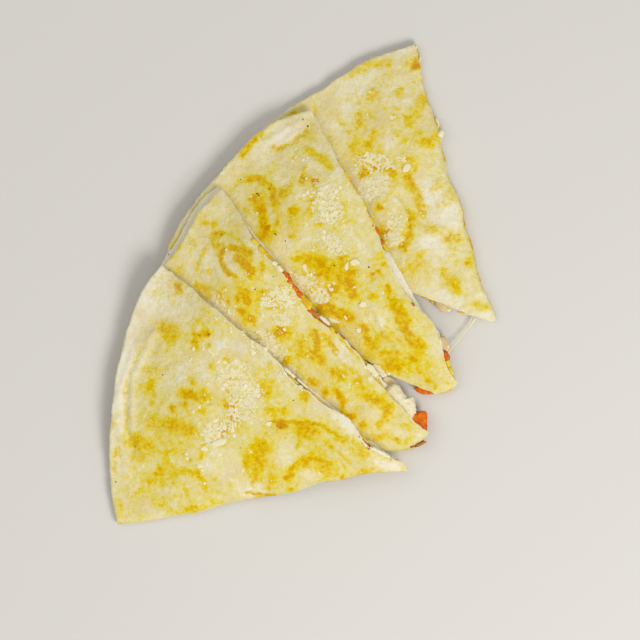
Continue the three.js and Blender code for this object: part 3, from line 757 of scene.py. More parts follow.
def add_piece(
    name: str, points: np.ndarray, faces: Sequence[Sequence[int]], finish: bpy.types.Material,
    slot: Optional[str], replaced: Sequence[str] = (),
    values: Optional[dict[str, np.ndarray]] = None, flat: bool = False,
) -> bpy.types.Object:
    """Makes a mesh object, gives it its finish and point values, and hands it to the frame.

    Args:
        name: Object name.
        points: Positions in mm.
        faces: Corner numbers of each face, facing outwards.
        finish: Material.
        slot: The record's material slot, if it has one. Not used.
        replaced: CAD nodes that this piece stands for.
        values: Point attributes by name.
        flat: Whether faces are shaded flat.

    Returns:
        The object.
    """
    mesh = bpy.data.meshes.new(name)
    mesh.from_pydata((points * MM).tolist(), [], [tuple(face) for face in faces])
    for key, value in (values or {}).items():
        attribute = mesh.attributes.new(key, "FLOAT", "POINT")
        attribute.data.foreach_set("value", value.astype(np.float32))
    mesh.materials.append(finish)
    mesh.polygons.foreach_set("use_smooth", np.full(len(mesh.polygons), not flat))
    mesh.update()
    piece = bpy.data.objects.new(name, mesh)
    bpy.context.scene.collection.objects.link(piece)
    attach(piece, BODY)
    if replaced:
        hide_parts(*replaced)
    triangles = sum(len(face) - 2 for face in faces)
    LOG.info("%s: %d triangles, %s", name, triangles, finish.name)
    return piece


# Finishes

Stops = tuple[tuple[float, str], ...]
Socket = bpy.types.NodeSocket


def linear(colour: str) -> tuple[float, float, float, float]:
    """sRGB hex colour as linear red, green, blue and a full alpha."""
    parts = [int(colour[i:i + 2], 16) / 255 for i in (1, 3, 5)]
    parts = [p / 12.92 if p <= 0.04045 else ((p + 0.055) / 1.055) ** 2.4 for p in parts]
    return parts[0], parts[1], parts[2], 1.0


class Shader:
    """A new node material, the one method that adds a node, and short names for common nodes."""

    def __init__(self, name: str) -> None:
        """Makes the material with an empty tree."""
        self.material = bpy.data.materials.new(name)
        self.material.use_nodes = True
        self.tree = self.material.node_tree
        self.tree.nodes.clear()

    def add(self, kind: str, inputs: Optional[dict] = None, **options) -> bpy.types.Node:
        """Adds a node.

        Args:
            kind: Node type, without its prefix.
            inputs: By socket name or number: a constant, or the socket to link from.
            **options: Properties of the node.

        Returns:
            The node.
        """
        node = self.tree.nodes.new("ShaderNode" + kind)
        for key, value in options.items():
            setattr(node, key, value)
        for key, value in (inputs or {}).items():
            if isinstance(value, Socket):
                self.tree.links.new(value, node.inputs[key])
            else:
                node.inputs[key].default_value = value
        return node

    def value(self, name: str) -> Socket:
        """A point value of the mesh."""
        return self.add("Attribute", attribute_name=name).outputs["Fac"]

    def noise(self, size: float, detail: float, roughness: float) -> Socket:
        """Noise on Object coordinates whose features are about size mm across."""
        place = self.add("TexCoord").outputs["Object"]
        scale = 1.0 / (size * MM)
        inputs = {"Vector": place, "Scale": scale, "Detail": detail, "Roughness": roughness}
        return self.add("TexNoise", inputs).outputs[0]

    def span(self, value: Socket, low: float, high: float, first: float, last: float) -> Socket:
        """Value from low to high mapped to first to last, and clamped there."""
        ends = {"From Min": low, "From Max": high, "To Min": first, "To Max": last}
        return self.add("MapRange", {"Value": value, **ends}).outputs[0]

    def maths(self, operation: str, *values: Socket | float, clamp: bool = False) -> Socket:
        """A sum, product or the like of the values."""
        inputs = dict(enumerate(values))
        return self.add("Math", inputs, operation=operation, use_clamp=clamp).outputs[0]

    def ramp(self, level: Socket, stops: Stops) -> Socket:
        """Colour ramp over the level."""
        node = self.add("ValToRGB", {"Fac": level})
        elements = node.color_ramp.elements
        while len(elements) < len(stops):
            elements.new(1.0)
        for element, (place, colour) in zip(elements, stops):
            element.position, element.color = place, linear(colour)
        return node.outputs[0]

    def tint(self, base: Socket, colour: str, share: Socket) -> Socket:
        """Base colour turned towards a colour by a share."""
        inputs = {0: share, 6: base, 7: linear(colour)}
        return self.add("Mix", inputs, data_type="RGBA").outputs[2]

    def bump(self, height: Socket, strength: float, depth: float, **inputs: Socket) -> Socket:
        """Normal bumped by the height, depth in mm."""
        inputs |= {"Height": height, "Strength": strength, "Distance": depth * MM}
        return self.add("Bump", inputs).outputs[0]

    def surface(self, inputs: dict) -> bpy.types.Material:
        """Ends the tree with a surface of these inputs and returns the material."""
        surface = self.add("BsdfPrincipled", inputs)
        self.add("OutputMaterial", {"Surface": surface.outputs[0]})
        return self.material


@dataclass(frozen=True)
class ToastedFlourTortilla:
    """Flour tortilla, griddled: a matt floury crumb that browns to gold where it touched the pan.

    The ramp runs from floury white through cream and straw yellow to gold and light brown, and
    follows the mesh's toast value, broken up by fine mottle. Noises are (mm, detail, roughness).
    """

    floury: str = "#ece4ca"
    raw_crumb: str = "#f3edd2"
    grated: str = "#e8deb4"
    tan: str = "#d9c287"
    stops: Stops = (
        (0.0, "#e8e2cc"), (0.12, "#e7dcae"), (0.24, "#e6d898"), (0.36, "#e2d38a"),
        (0.48, "#e2d05e"), (0.60, "#e0c62a"), (0.72, "#debe00"), (0.84, "#d9aa00"),
        (0.93, "#d19600"), (1.0, "#c88302"),
    )
    most: float = 1.04  # toast level that fine mottle never passes
    toast_share: float = 0.86  # where on the ramp full toast lies
    grain: tuple[float, float, float] = (0.6, 3.0, 0.6)  # dough grain
    mottle: tuple[float, float, float] = (1.9, 4.0, 0.62)  # fine browning
    pits: tuple[float, float, float] = (2.6, 3.0, 0.55)  # soft pits
    patches: tuple[float, float, float] = (16.0, 4.0, 0.6)  # where steam left the dough tan
    granules: tuple[float, float, float] = (1.5, 2.0, 0.5)  # powdered cheese between the grains

    def material(self) -> bpy.types.Material:
        """Builds the node material."""
        shader = Shader("griddled_flour_tortilla")
        span, maths, tint = shader.span, shader.maths, shader.tint
        toast = shader.value("toast")
        grain, pits = shader.noise(*self.grain), shader.noise(*self.pits)
        # Toast level: the marks, mottled more where they are stronger, and painted shade: more
        # toast in the hollows of the pits bump, less on its crests
        mottle = span(shader.noise(*self.mottle), 0.3, 0.7, -0.3, 0.3)
        mottle = maths("MULTIPLY", mottle, maths("MULTIPLY_ADD", toast, 0.5, 0.4))
        pits_painted_shade = span(pits, 0.3, 0.7, 0.12, -0.12)
        level = maths("ADD", toast, maths("ADD", mottle, pits_painted_shade))
        charred = span(toast, 1.0, 1.2, 0.0, 0.08)
        shown = maths("ADD", maths("MINIMUM", level, self.most), charred)
        colour = shader.ramp(maths("MULTIPLY", shown, self.toast_share), self.stops)
        # Flour and steamed patches show where there is little toast
        untoasted = span(level, 0.25, 0.85, 1.0, 0.1)
        pale = maths("MULTIPLY", shader.value("pale"), untoasted, clamp=True)
        steamed = span(shader.noise(*self.patches), 0.48, 0.7, 0.0, 0.6)
        colour = tint(colour, self.floury, pale)
        colour = tint(colour, self.tan, maths("MULTIPLY", steamed, untoasted))
        colour = tint(colour, self.raw_crumb, shader.value("raw"))
        # Powdered cheese in small heaps, and the dough's grain: a fine bump, with painted shade
        # darkening its hollows and painted light on its crests
        strewn = maths("ADD", shader.noise(*self.granules), shader.value("dust"))
        heaps = span(strewn, 0.83, 0.91, 0.0, 1.0)
        shade = {0: tint(colour, self.grated, heaps), "Scale": span(grain, 0.25, 0.75, 0.89, 1.08)}
        colour = shader.add("VectorMath", shade, operation="SCALE").outputs[0]
        fine = shader.bump(grain, 0.75, 0.3)
        heaped = shader.bump(heaps, 0.5, 0.3, Normal=fine)
        return shader.surface({
            "IOR": 1.45, "Specular IOR Level": 0.03, "Base Color": colour,
            "Roughness": span(level, 0.2, 1.0, 0.72, 0.46),
            "Normal": shader.bump(pits, 0.8, 0.8, Normal=heaped),
        })


@dataclass(frozen=True)
class FoodFinish:
    """A moist food whose colour wanders through a ramp and whose skin is lumpy at one size.

    Attributes:
        name: Material name.
        stops: Colour ramp over the noise.
        patch: Size in mm of the colour patches.
        grain: Size in mm of the bumps.
        relief: Height in mm of the bumps.
        roughness: Surface roughness; wet skins are low.
        glow: Share of light that scatters inside.
        coat: Share of wet film on top.
        shine: Strength of the surface reflection; 0.5 is that of plain glass.
        value: Point value added to the colour noise, if any.
    """

    name: str
    stops: Stops
    patch: float
    grain: float
    relief: float
    roughness: float
    glow: float
    coat: float = 0.0
    shine: float = 0.5
    value: Optional[str] = None

    def material(self) -> bpy.types.Material:
        """Builds the node material."""
        shader = Shader(self.name)
        level = shader.span(shader.noise(self.patch, 3.0, 0.6), 0.28, 0.72, 0.0, 1.0)
        if self.value:
            level = shader.maths("MULTIPLY_ADD", level, 0.3, shader.value(self.value))
        return shader.surface({
            "Base Color": shader.ramp(level, self.stops), "Roughness": self.roughness,
            "IOR": 1.42, "Specular IOR Level": self.shine,
            "Subsurface Weight": self.glow, "Subsurface Scale": 1.0,
            "Subsurface Radius": (0.0012, 0.0009, 0.0006),
            "Coat Weight": self.coat, "Coat Roughness": 0.08,
            "Normal": shader.bump(shader.noise(self.grain, 3.0, 0.55), 0.8, self.relief),
        })


class Food(Enum):
    """The finishes of everything that isn't tortilla."""

    # Melted cheddar blend: pale yellow fat-slick cheese running to deep orange where it browned
    CHEESE = FoodFinish(
        "melted_cheddar", ((0.0, "#efe5b0"), (0.3, "#e8d45e"), (0.6, "#e2c124"), (1.0, "#d08c14")),
        3.5, 1.2, 0.25, 0.4, 0.08, 0.1, 0.2, "blend",
    )
    # Diced ripe tomato: wet, orange-red flesh with paler seed-side patches
    TOMATO = FoodFinish(
        "ripe_tomato_dice", ((0.0, "#b04208"), (0.5, "#dc680e"), (1.0, "#e48a22")),
        2.6, 1.6, 0.3, 0.3, 0.0, 0.08, 0.12,
    )
    # Cooked chicken breast: matt cream fibres
    CHICKEN = FoodFinish(
        "cooked_chicken", ((0.0, "#dccb94"), (0.5, "#eadfb9"), (1.0, "#f1e9d0")),
        2.4, 0.7, 0.3, 0.5, 0.05, 0.1,
    )
    # Softened onion: thin, translucent tan
    ONION = FoodFinish(
        "softened_onion", ((0.0, "#cfb077"), (0.5, "#dcc693"), (1.0, "#e9dcbc")),
        3.0, 1.4, 0.2, 0.36, 0.08, 0.2,
    )
    # Cheese and meat juices browned on the pan along the cuts
    BROWNED = FoodFinish(
        "browned_filling", ((0.0, "#7a3f10"), (0.5, "#b06c1a"), (1.0, "#d49a2c")),
        1.6, 0.9, 0.3, 0.42, 0.1, 0.2,
    )
    # Finely grated hard cheese: dry, pale, each grain a little different
    GRATED = FoodFinish(
        "grated_hard_cheese", ((0.0, "#e4d69a"), (0.5, "#e9dfb4"), (1.0, "#ece5c8")),
        2.0, 0.5, 0.12, 0.65, 0.0, 0.0, 0.1, "tone",
    )
    # Cracked pepper and dried herb flakes
    SPECKS = FoodFinish(
        "cracked_pepper", ((0.0, "#1f1a12"), (0.45, "#3d2c14"), (0.9, "#a8641c")),
        1.0, 0.3, 0.1, 0.7, 0.0, 0.0, 0.1, "tone",
    )

    def material(self) -> bpy.types.Material:
        """The finish's material, built once and then reused."""
        return bpy.data.materials.get(self.value.name) or self.value.material()


# Tortillas


@dataclass
class FoldedTortilla:
    """One wedge's tortilla: a sheet folded over the filling, as one closed skin.

    The sheet is a surface of two parameters. One runs from the top's open edge to the fold, round
    it, and back below; the other runs along the fold. Its inner side is the outer side moved in
    along the normals by the layer's thickness. The numbers count points each way.
    """

    wedge: Wedge
    on_top: int = 150
    round_fold: int = 22
    below: int = 66
    along: int = 176
    reading: float = 140.0  # mm of noise read along a cut
    lift: float = 0.6  # mm, waves of the cut edge
    side_bulge: float = 0.28  # mm that the cut dough bulges out
    cheese_gap_shade: float = 0.35  # painted shade: toast colour added where grated cheese lies, for the shade between its grains

    def stations(self) -> tuple[np.ndarray, np.ndarray]:
        """Share of the flat stretch outside the fold, and angle round the fold, at each station."""
        half_turn = math.pi / 2
        top = np.linspace(1.0, 0.0, self.on_top) ** 0.94
        low = np.linspace(0.0, 1.0, self.below) ** 0.9
        bend = np.linspace(half_turn, -half_turn, self.round_fold + 2)[1:-1]
        far = np.concatenate([top, np.zeros(self.round_fold), low])
        angle = [np.full(self.on_top, half_turn), bend, np.full(self.below, -half_turn)]
        return far[:, None], np.concatenate(angle)[:, None]

    def ragged(self, u: np.ndarray, v: np.ndarray, layer: np.ndarray) -> np.ndarray:
        """Uneven reach of the cut edges and the rim: noise along each edge, fading inwards."""
        wedge, seed = self.wedge, self.wedge.seed
        right, left = (edge / abs(edge) for edge in wedge.edges)
        which = np.where(layer > 0.5, 40.0, 0.0) * 1j
        step = v * abs(wedge.edges[0]) + which
        side = (0.45 if wedge.fold is Fold.LEFT else 1.0) * waves(step + 90j, seed, SIDE_RAG)
        rim = waves(u * wedge.width(v) + which, seed, RIM_RAG)
        rim = rim + waves(u * 100.0 + which, seed, RIM_FRAY)
        out = -1j * right * waves(step, seed, *CUT_RAG) * near_one(1.0 - u, CUT_RAGS)
        out = out + 1j * left * side * near_one(u, CUT_RAGS)
        return out + unit_plan(right + left) * rim * near_one(v, RIM_RAGS)

    def outer(self) -> tuple[np.ndarray, np.ndarray, np.ndarray, np.ndarray]:
        """Outer grid, its plan points, how much each point belongs to the top, and its thickness.

        The fold's section is half an ellipse: distance from the fold is radius (1 - cos), height
        is the nose's level plus a share of the full height times sin.
        """
        wedge, seed = self.wedge, self.wedge.seed
        far, angle = self.stations()
        share = np.linspace(0.0, 1.0, self.along)[None, :]
        zero = np.zeros_like(share)
        if wedge.fold is Fold.TIP:
            at_fold = wedge.plan(share, zero, zero + 1.0)
            span = zero + wedge.length()
        else:
            side = 1.0 if wedge.fold is Fold.LEFT else 0.0
            at_fold = wedge.plan(zero + side, share, zero + 1.0)
            span = wedge.width(share)
        full_fold = 2.0 * TORTILLA + wedge.filling(at_fold)
        radius = np.minimum(FOLD_REACH * full_fold, 0.45 * span)
        inside = (radius * (1.0 - np.cos(angle)) + (span - radius) * far) / span
        share = np.broadcast_to(share, inside.shape)
        u, v = {
            Fold.TIP: (share, inside), Fold.LEFT: (1.0 - inside, share),
            Fold.RIGHT: (inside, share),
        }[wedge.fold]
        rise = np.broadcast_to(np.sin(angle), u.shape)
        layer = (1.0 + rise) / 2.0
        plan = wedge.plan(u, v, layer)
        low = wedge.underside(plan)
        narrow = np.clip(span / (1.3 * full_fold), 0.05, 1.0) ** 0.6
        full = (2.0 * TORTILLA + wedge.filling(plan)) * narrow
        plan = plan + self.ragged(u, v, layer)
        above = np.maximum(rise, 0.0)
        up = FOLD_LEVEL + (1.0 - FOLD_LEVEL) * above + FOLD_LEVEL * np.minimum(rise, 0.0)
        on_top = smooth(above * 1.2)
        lift = self.lift * np.maximum(waves(v * self.reading + 0j, seed, CUT_WAVE), -0.4)
        lift = wedge.browning.height(plan, seed) + lift * near_one(1.0 - u, CUT_LIFT)
        height = low + full * up + on_top * narrow * lift
        height = np.maximum(height + (1.0 - on_top) * waves(plan, seed, UNDERSIDE), 0.0)
        thinned = 1.0 - 0.35 * near_one(v, RIM_THINNING) - 0.4 * near_one(1.0 - u, CUT_THINNING)
        thickness = np.minimum(TORTILLA * thinned, 0.42 * full)
        return to_space(plan, height), plan, on_top, thickness

    def build(self, finish: bpy.types.Material) -> bpy.types.Object:
        """Builds the tortilla with its toast, pale, raw and dust values; the toast also carries
        painted shade along creases and between grains of cheese.
        """
        wedge, seed = self.wedge, self.wedge.seed
        outer, plan, on_top, thickness = self.outer()
        normal = grid_normals(outer)
        if normal[4, self.along // 2, 2] < 0:
            normal = -normal
        skin = skin_between(outer, outer - normal * thickness[..., None], self.side_bulge)
        below = smooth((waves(plan, seed, UNDERSIDE_TOAST) - 0.05) / 0.35) * 0.8 + 0.15
        dust = on_top * GRATED.density(plan)
        # Toast, plus painted shade in toast colour under the grated cheese, between its grains
        toast = mix(below, wedge.browning.toast(plan, seed), on_top) + self.cheese_gap_shade * dust
        pale = mix(0.2, wedge.browning.floury(plan, seed), on_top)
        # Each value outside, inside and on the cut sides
        values = {
            "toast": (toast, 0.1, 0.12), "pale": (pale, 0.5, 0.5),
            "raw": (0.0 * plan.real, 0.9, 0.75), "dust": (dust, 0.0, 0.0),
        }
        return add_piece(
            f"folded_tortilla_{wedge.name}", skin.points, skin.faces, finish, "tortilla",
            [f"tortilla_{wedge.name}"], {
                key: np.concatenate([
                    outside.ravel(), np.full(plan.size, inside), np.full(skin.sides, side),
                ]) for key, (outside, inside, side) in values.items()
            },
        )


# Filling


@dataclass
class MeltedFilling:
    """Melted cheese between a wedge's layers: a pillow whose open edges bulge and run unevenly."""

    wedge: Wedge
    bare: Steps = ()  # where it stays back from the right edge
    rows: int = 150
    columns: int = 96
    wall: float = 2.7  # mm of tortilla and gap outside it at the fold
    recess: float = 0.9  # mm behind the right edge
    left_recess: float = 1.2  # mm behind the left edge
    rim_recess: float = 8.0  # mm behind the round rim
    point_start: float = 9.0  # mm from a pointed tip
    overlap: float = 0.1  # mm that it sinks into each layer
    least: float = 0.3  # mm of filling everywhere
    bulge: float = 0.55  # mm that its open edges bulge out
    reading: float = 140.0  # mm of noise read along the right edge

    def build(self) -> bpy.types.Object:
        """Builds the pillow: top and bottom follow the layers' inner sides, sides bulge out."""
        wedge, seed = self.wedge, self.wedge.seed
        length = wedge.length()
        first = self.wall if wedge.fold is Fold.TIP else self.point_start
        ends = np.linspace(0.0, 1.0, self.rows)[:, None]
        v = mix(first / length, 1.0 - self.rim_recess / length, ends)
        width = wedge.width(v)
        run = waves(v * self.reading + 0j, seed, FILLING_RUN)
        back = self.recess - run + steps_at(self.bare, v * abs(wedge.edges[0]))
        start = (self.wall if wedge.fold is Fold.RIGHT else back) / width
        end = 1.0 - (self.wall if wedge.fold is Fold.LEFT else self.left_recess) / width
        u = mix(start, end, np.linspace(0.0, 1.0, self.columns)[None, :] ** 1.3)
        v = np.broadcast_to(v, u.shape)
        plan = wedge.plan(u, v, np.full(u.shape, 0.5))
        low = wedge.underside(plan) + TORTILLA - self.overlap
        high = np.maximum(wedge.top(plan) - TORTILLA + self.overlap, low + self.least)
        high = high + waves(plan, seed, FILLING_LUMPS)
        skin = skin_between(to_space(plan, high), to_space(plan, low), self.bulge)
        blend = (0.3 + waves(plan, seed, FILLING_BLEND)).ravel()
        edge = skin.points[-skin.sides:, 0] + 1j * skin.points[-skin.sides:, 1]
        sides = 0.35 + waves(edge, seed, FILLING_EDGE_BLEND)
        return add_piece(
            f"melted_filling_{wedge.name}", skin.points, skin.faces, Food.CHEESE.material(),
            "melted_filling", [f"filling_{wedge.name}"],
            {"blend": np.concatenate([blend, blend, sides])},
        )


def closed_outline(corners: np.ndarray, count: int) -> np.ndarray:
    """Smooth closed curve through the corners (Catmull-Rom cubics), sampled at count points."""
    last = len(corners)
    place = np.arange(count) * last / count
    i = np.floor(place).astype(int)
    t = place - i
    p0, p1, p2, p3 = (corners[(i + shift) % last] for shift in (-1, 0, 1, 2))
    return 0.5 * (
        2 * p1 + (p2 - p0) * t + (2 * p0 - 5 * p1 + 4 * p2 - p3) * t ** 2
        + (3 * p1 - p0 - 3 * p2 + p3) * t ** 3
    )


def uneven_oval(
    row: Sequence[float], count: int, power: float, swing: float, noise: tuple[float, float, int]
) -> np.ndarray:
    """Outline of a small bit.

    Args:
        row: x, y, length, width, turn.
        count: Points round it.
        power: 1 gives an oval, smaller values a box with round corners.
        swing: Height of the noise, as a share of the size.
        noise: Radius on which the noise is read, its cell, and its seed.

    Returns:
        Plan points, turning left.
    """
    x, y, length, width, turn = row
    radius, cell, seed = noise
    ring = np.exp(2j * math.pi * np.arange(count) / count)
    along, across = (np.sign(part) * np.abs(part) ** power for part in (ring.real, ring.imag))
    block = length / 2 * along + 0.5j * width * across
    block = block * (1.0 + swing * layered_noise(ring * radius, cell, seed))
    return complex(x, y) + block * turned(turn)


def rounded_chunk(
    outline: np.ndarray, low: float, high: float, lump: float, seed: int, power: float,
    fibre: float = 0.0, turn: float = 0.0,
) -> tuple[np.ndarray, Faces]:
    """A chunk whose outline swells and shrinks from pole to pole like a rounded box.

    Ring r of the chunk has the outline scaled by cos^power and the height by sin^power of an
    angle that runs from -90 to 90 degrees; noise then moves each point in or out.

    Args:
        outline: Closed outline, turning left.
        low: Lowest height in mm.
        high: Greatest height in mm.
        lump: Height of the noise in mm.
        seed: Noise seed.
        power: 1 gives an ellipsoid, smaller values a box with round edges.
        fibre: Depth of parallel grooves in mm, for meat.
        turn: Direction of the grooves in degrees.

    Returns:
        Points and faces.
    """
    centre = outline.mean()
    angle = np.linspace(-math.pi / 2, math.pi / 2, 17)[1:-1][:, None]
    reach = np.cos(angle) ** power
    level = np.sign(angle) * np.abs(np.sin(angle)) ** power
    plan = centre + (outline[None, :] - centre) * reach
    height = (low + high) / 2 + (high - low) / 2 * np.broadcast_to(level, plan.shape)
    groove = np.imag(plan * turned(-turn)) + 0.5 * layered_noise(plan, 4.0, seed)
    bumps = lump * layered_noise(plan * 1.3 + height * (1 + 2j), 3.0, seed)
    bumps = bumps + fibre * np.sin(groove * 2 * math.pi / 1.1)
    plan = plan + unit_plan(outline - centre)[None, :] * bumps * reach
    rings = to_space(plan, height + bumps * 0.8 * level)
    start = np.array([centre.real, centre.imag, low])
    end = np.array([centre.real, centre.imag, rings[-1, :, 2].mean()])
    points, faces = capped_rings(rings, start, end)
    return points, [tuple(face[::-1]) for face in faces]


@dataclass(frozen=True)
class DicedPiece:
    """A piece of chicken, onion or tomato that stands out of a cut edge; replaces its CAD node."""

    node: str  # starts with the food, which is also the material slot
    outline: tuple[float, ...]
    low: float
    high: float
    seed: int
    lump: float = 0.45
    fibre: float = 0.0
    turn: float = 0.0

    def build(self) -> bpy.types.Object:
        """Builds the piece from its outline, turned round if that runs clockwise."""
        slot = self.node.split("_")[0]
        corners = as_points(self.outline)
        if np.sum(np.imag(np.conj(corners) * np.roll(corners, -1))) < 0:
            corners = corners[::-1]
        points, faces = rounded_chunk(
            closed_outline(corners, 72), self.low, self.high, self.lump, self.seed, 0.5, self.fibre,
            self.turn,
        )
        finish = Food[slot.upper()].material()
        return add_piece(f"diced_{self.node}", points, faces, finish, slot, [self.node])


DICED = (
    DicedPiece(
        "chicken_b", (39.7, -51.3, 41.2, -49.3, 46, -48.6, 49.4, -53.3, 51.6, -55.6, 54.1, -54.8,
         55.1, -61.5, 53, -65.5, 48.5, -64.5, 43.5, -60.5, 38.6, -55.5), 6, 12.4, 11, 0.7, 0.3, -55,
    ),
    DicedPiece(
        "onion_b", (39.5, -44.6, 42.9, -45, 46.2, -48.6, 44.8, -50.6, 39, -50.2), 6.3, 8.4, 12, 0.2,
    ),
    DicedPiece(
        "tomato_b", (51.6, -63.2, 54.4, -62.3, 59, -61.4, 60.5, -62.5, 60.6, -66.4, 60.3, -71.3, 57,
         -70.9, 53.3, -69.5, 51.2, -66.5), 4.4, 11, 13,
    ),
    DicedPiece(
        "onion_c", (66.4, -25.5, 69.5, -25.2, 71.3, -28.5, 71.5, -31.5, 68, -32.3, 64, -30, 63.6,
         -26.5), 4.1, 6.3, 14, 0.25,
    ),
    DicedPiece(
        "tomato_c", (66.5, -31.5, 70, -32, 72, -35, 70.9, -37.4, 66.8, -37.6, 64.8, -34), 2.9, 6.9,
         15,
    ),
    DicedPiece(
        "tomato_c_tip", (54.5, -50.4, 58, -49.4, 62.4, -51.3, 64, -53.2, 60.5, -53.5, 56.5, -52.6),
         2.6, 6, 16,
    ),
    DicedPiece(
        "onion_d", (64.6, -8.2, 69, -6, 73.1, -8.3, 72.6, -12.2, 70.5, -13.2, 67, -12.4), 3.2, 5,
         17, 0.2,
    ),
)


@dataclass(frozen=True)
class EdgeBits:
    """Small bits of one food along the cuts, each an uneven block with rounded corners.

    Rows are x, y, length, width, turn, by wedge; a bit stands from the lower layer to just over
    the top.
    """

    name: str
    food: Food
    slot: str
    seed: int
    rows: dict[str, tuple[tuple[float, ...], ...]]

    def build(self, wedges: dict[str, Wedge]) -> bpy.types.Object:
        """Builds all the bits as one mesh."""
        chunks = []
        for key, rows in self.rows.items():
            for number, row in enumerate(rows):
                seed = self.seed + 10 * number + ord(key)
                outline = uneven_oval(row, 28, 0.6, 0.3, (3.0, 2.0, seed))
                here = np.array(complex(row[0], row[1]))
                low = float(wedges[key].underside(here) + TORTILLA)
                high = float(wedges[key].top(here)) + 0.1
                chunks.append(rounded_chunk(outline, low, high, 0.4, seed, 0.45))
        points, faces = joined(chunks)
        blend = 0.45 + 0.3 * layered_noise(points[:, 0] + 1j * points[:, 1], 4.0, self.seed)
        finish = self.food.material()
        return add_piece(self.name, points, faces, finish, self.slot, (), {"blend": blend})


EDGE_BITS = (
    EdgeBits("cheddar_along_cuts", Food.CHEESE, "melted_filling", 600, {
        "b": (
            (-22.6, 20, 6, 2.6, -48), (-19.2, 16.2, 6, 2.7, -49), (-16.6, 13, 3.4, 1, -55),
            (1.7, -8.4, 7.8, 4.2, -44), (0.1, -5.7, 2, 1.8, 0), (14.4, -22, 4, 1.7, -50),
            (22.4, -31, 4, 1.4, -48),
        ),
        "c": (
            (21.4, 53, 6.5, 1.7, -59), (25.6, 45.8, 6.5, 1.3, -60), (30.2, 37.6, 3.6, 2, -60),
            (33.3, 31.2, 6.4, 2, -64), (40.2, 18.2, 5.2, 1.9, -52), (70.9, -38.2, 4, 2.2, -70),
            (72.2, -41.6, 4.6, 2, -66), (18.2, 59, 4, 1.2, -61),
        ),
        "d": ((62.8, -7.9, 2.6, 1.1, -35), (77.8, -13.2, 4, 1.2, -15), (60.3, -6.3, 2.6, 0.9, -20)),
    }),
    EdgeBits("tomato_along_cuts", Food.TOMATO, "tomato", 640, {
        "b": (
            (-7.9, 4.7, 3.4, 3, -35), (-6.4, 1.9, 3.6, 2.4, -55), (-3.9, -1.4, 4.6, 2.2, -50),
            (-1.6, -4.6, 3.4, 2.4, -48), (3.6, -12.4, 3.2, 2.6, -38),
        ),
        "c": ((35.9, 26.4, 4.6, 1.9, -58), (38.6, 20.9, 2.4, 1.9, -50), (69.5, -34.4, 4, 2.4, -60)),
    }),
    EdgeBits("chicken_along_cuts", Food.CHICKEN, "chicken", 660, {
        "b": (
            (-13.9, 10.4, 3.8, 2.6, -30), (-11.2, 7.6, 4.2, 2.6, -58), (10.4, -17, 7.6, 2.2, -38),
            (34.5, -42.3, 6, 3.4, -45),
        ),
        "d": ((67.2, 74.1, 3.8, 3.4, 60),),
    }),
    EdgeBits("torn_rim_crumbs", Food.CHICKEN, "tortilla", 700, {
        "c": (
            (-36.3, 58.8, 3.6, 1.3, 80), (-34.9, 58.9, 2.6, 0.9, 70), (-38.8, 55.6, 2.8, 1.3, 60),
            (-40, 54.4, 2.2, 1.1, 50),
        ),
        "d": ((55.6, 117, 2.4, 1.2, 70), (57.4, 111, 2.6, 1, 80), (66, 79.6, 5, 1.6, -70)),
        "a": (
            (37.6, -81.6, 6.5, 1.6, -30), (43.2, -84.6, 6, 1.4, -36), (-6.6, -42.4, 9, 1.6, -42),
            (-0.6, -47.4, 7, 1.4, -42),
        ),
    }),
    EdgeBits("browned_along_cuts", Food.BROWNED, "melted_filling", 680, {
        "b": (
            (5.9, -14.2, 5.8, 3.3, -38), (9.8, -18.4, 7.4, 1, -36), (12.6, -20.3, 2.2, 1, -30),
            (15.8, -22.8, 2.4, 1, -40), (19.5, -25.4, 3, 0.8, -45), (24.2, -30.6, 3, 0.8, -42),
            (57.6, -77.6, 5.4, 1.5, 24), (53.6, -79, 3.4, 1, 14),
        ),
        "c": ((53.5, -9.6, 3.6, 1.5, -50), (34, 28.6, 1.6, 1.2, -60)),
        "a": (
            (29.4, -76, 4.4, 1.6, -52), (31.6, -78.6, 4.2, 2.2, -50), (33.6, -80.2, 2.6, 1.6, -40),
        ),
    }),
)


@dataclass(frozen=True)
class CheeseString:
    """A string of melted cheese stretched between two wedges: a thin tube that sags and tapers."""

    name: str
    path: tuple[tuple[float, float, float], ...]
    radius: float
    blend: float = -0.35  # paler than the filling

    def build(self) -> bpy.types.Object:
        """Builds the tube: circles in the plane across a smooth curve through the path."""
        share = np.linspace(0.0, 1.0, 90)
        line = np.stack([curve_through(axis, share) for axis in zip(*self.path)], axis=1)
        ahead = unit(np.gradient(line, axis=0))
        side = unit(np.cross(ahead, (0.0, 0.0, 1.0)))
        above = np.cross(side, ahead)
        radius = self.radius * (0.55 + 1.3 * (2 * share - 1) ** 4 + 0.25 * np.sin(share * 23) ** 2)
        turn = np.linspace(0.0, 2 * math.pi, 13)[:-1]
        circle = side[:, None] * np.cos(turn)[:, None] + above[:, None] * np.sin(turn)[:, None]
        rings = line[:, None] + circle * radius[:, None, None]
        points, faces = capped_rings(rings, line[0], line[-1])
        return add_piece(
            self.name, points, faces, Food.CHEESE.material(), "melted_filling", (),
            {"blend": np.full(len(points), self.blend)},
        )


STRING = CheeseString(
    "cheese_string_long",
    ((71.1, -35.6, 4.6), (71.3, -32.5, 4.4), (73.4, -30, 3.7), (75.5, -27.6, 3), (80, -22.1, 2.6),
     (82.7, -18.6, 3), (84.1, -16.2, 3.4)), 0.44,
)


# Toppings


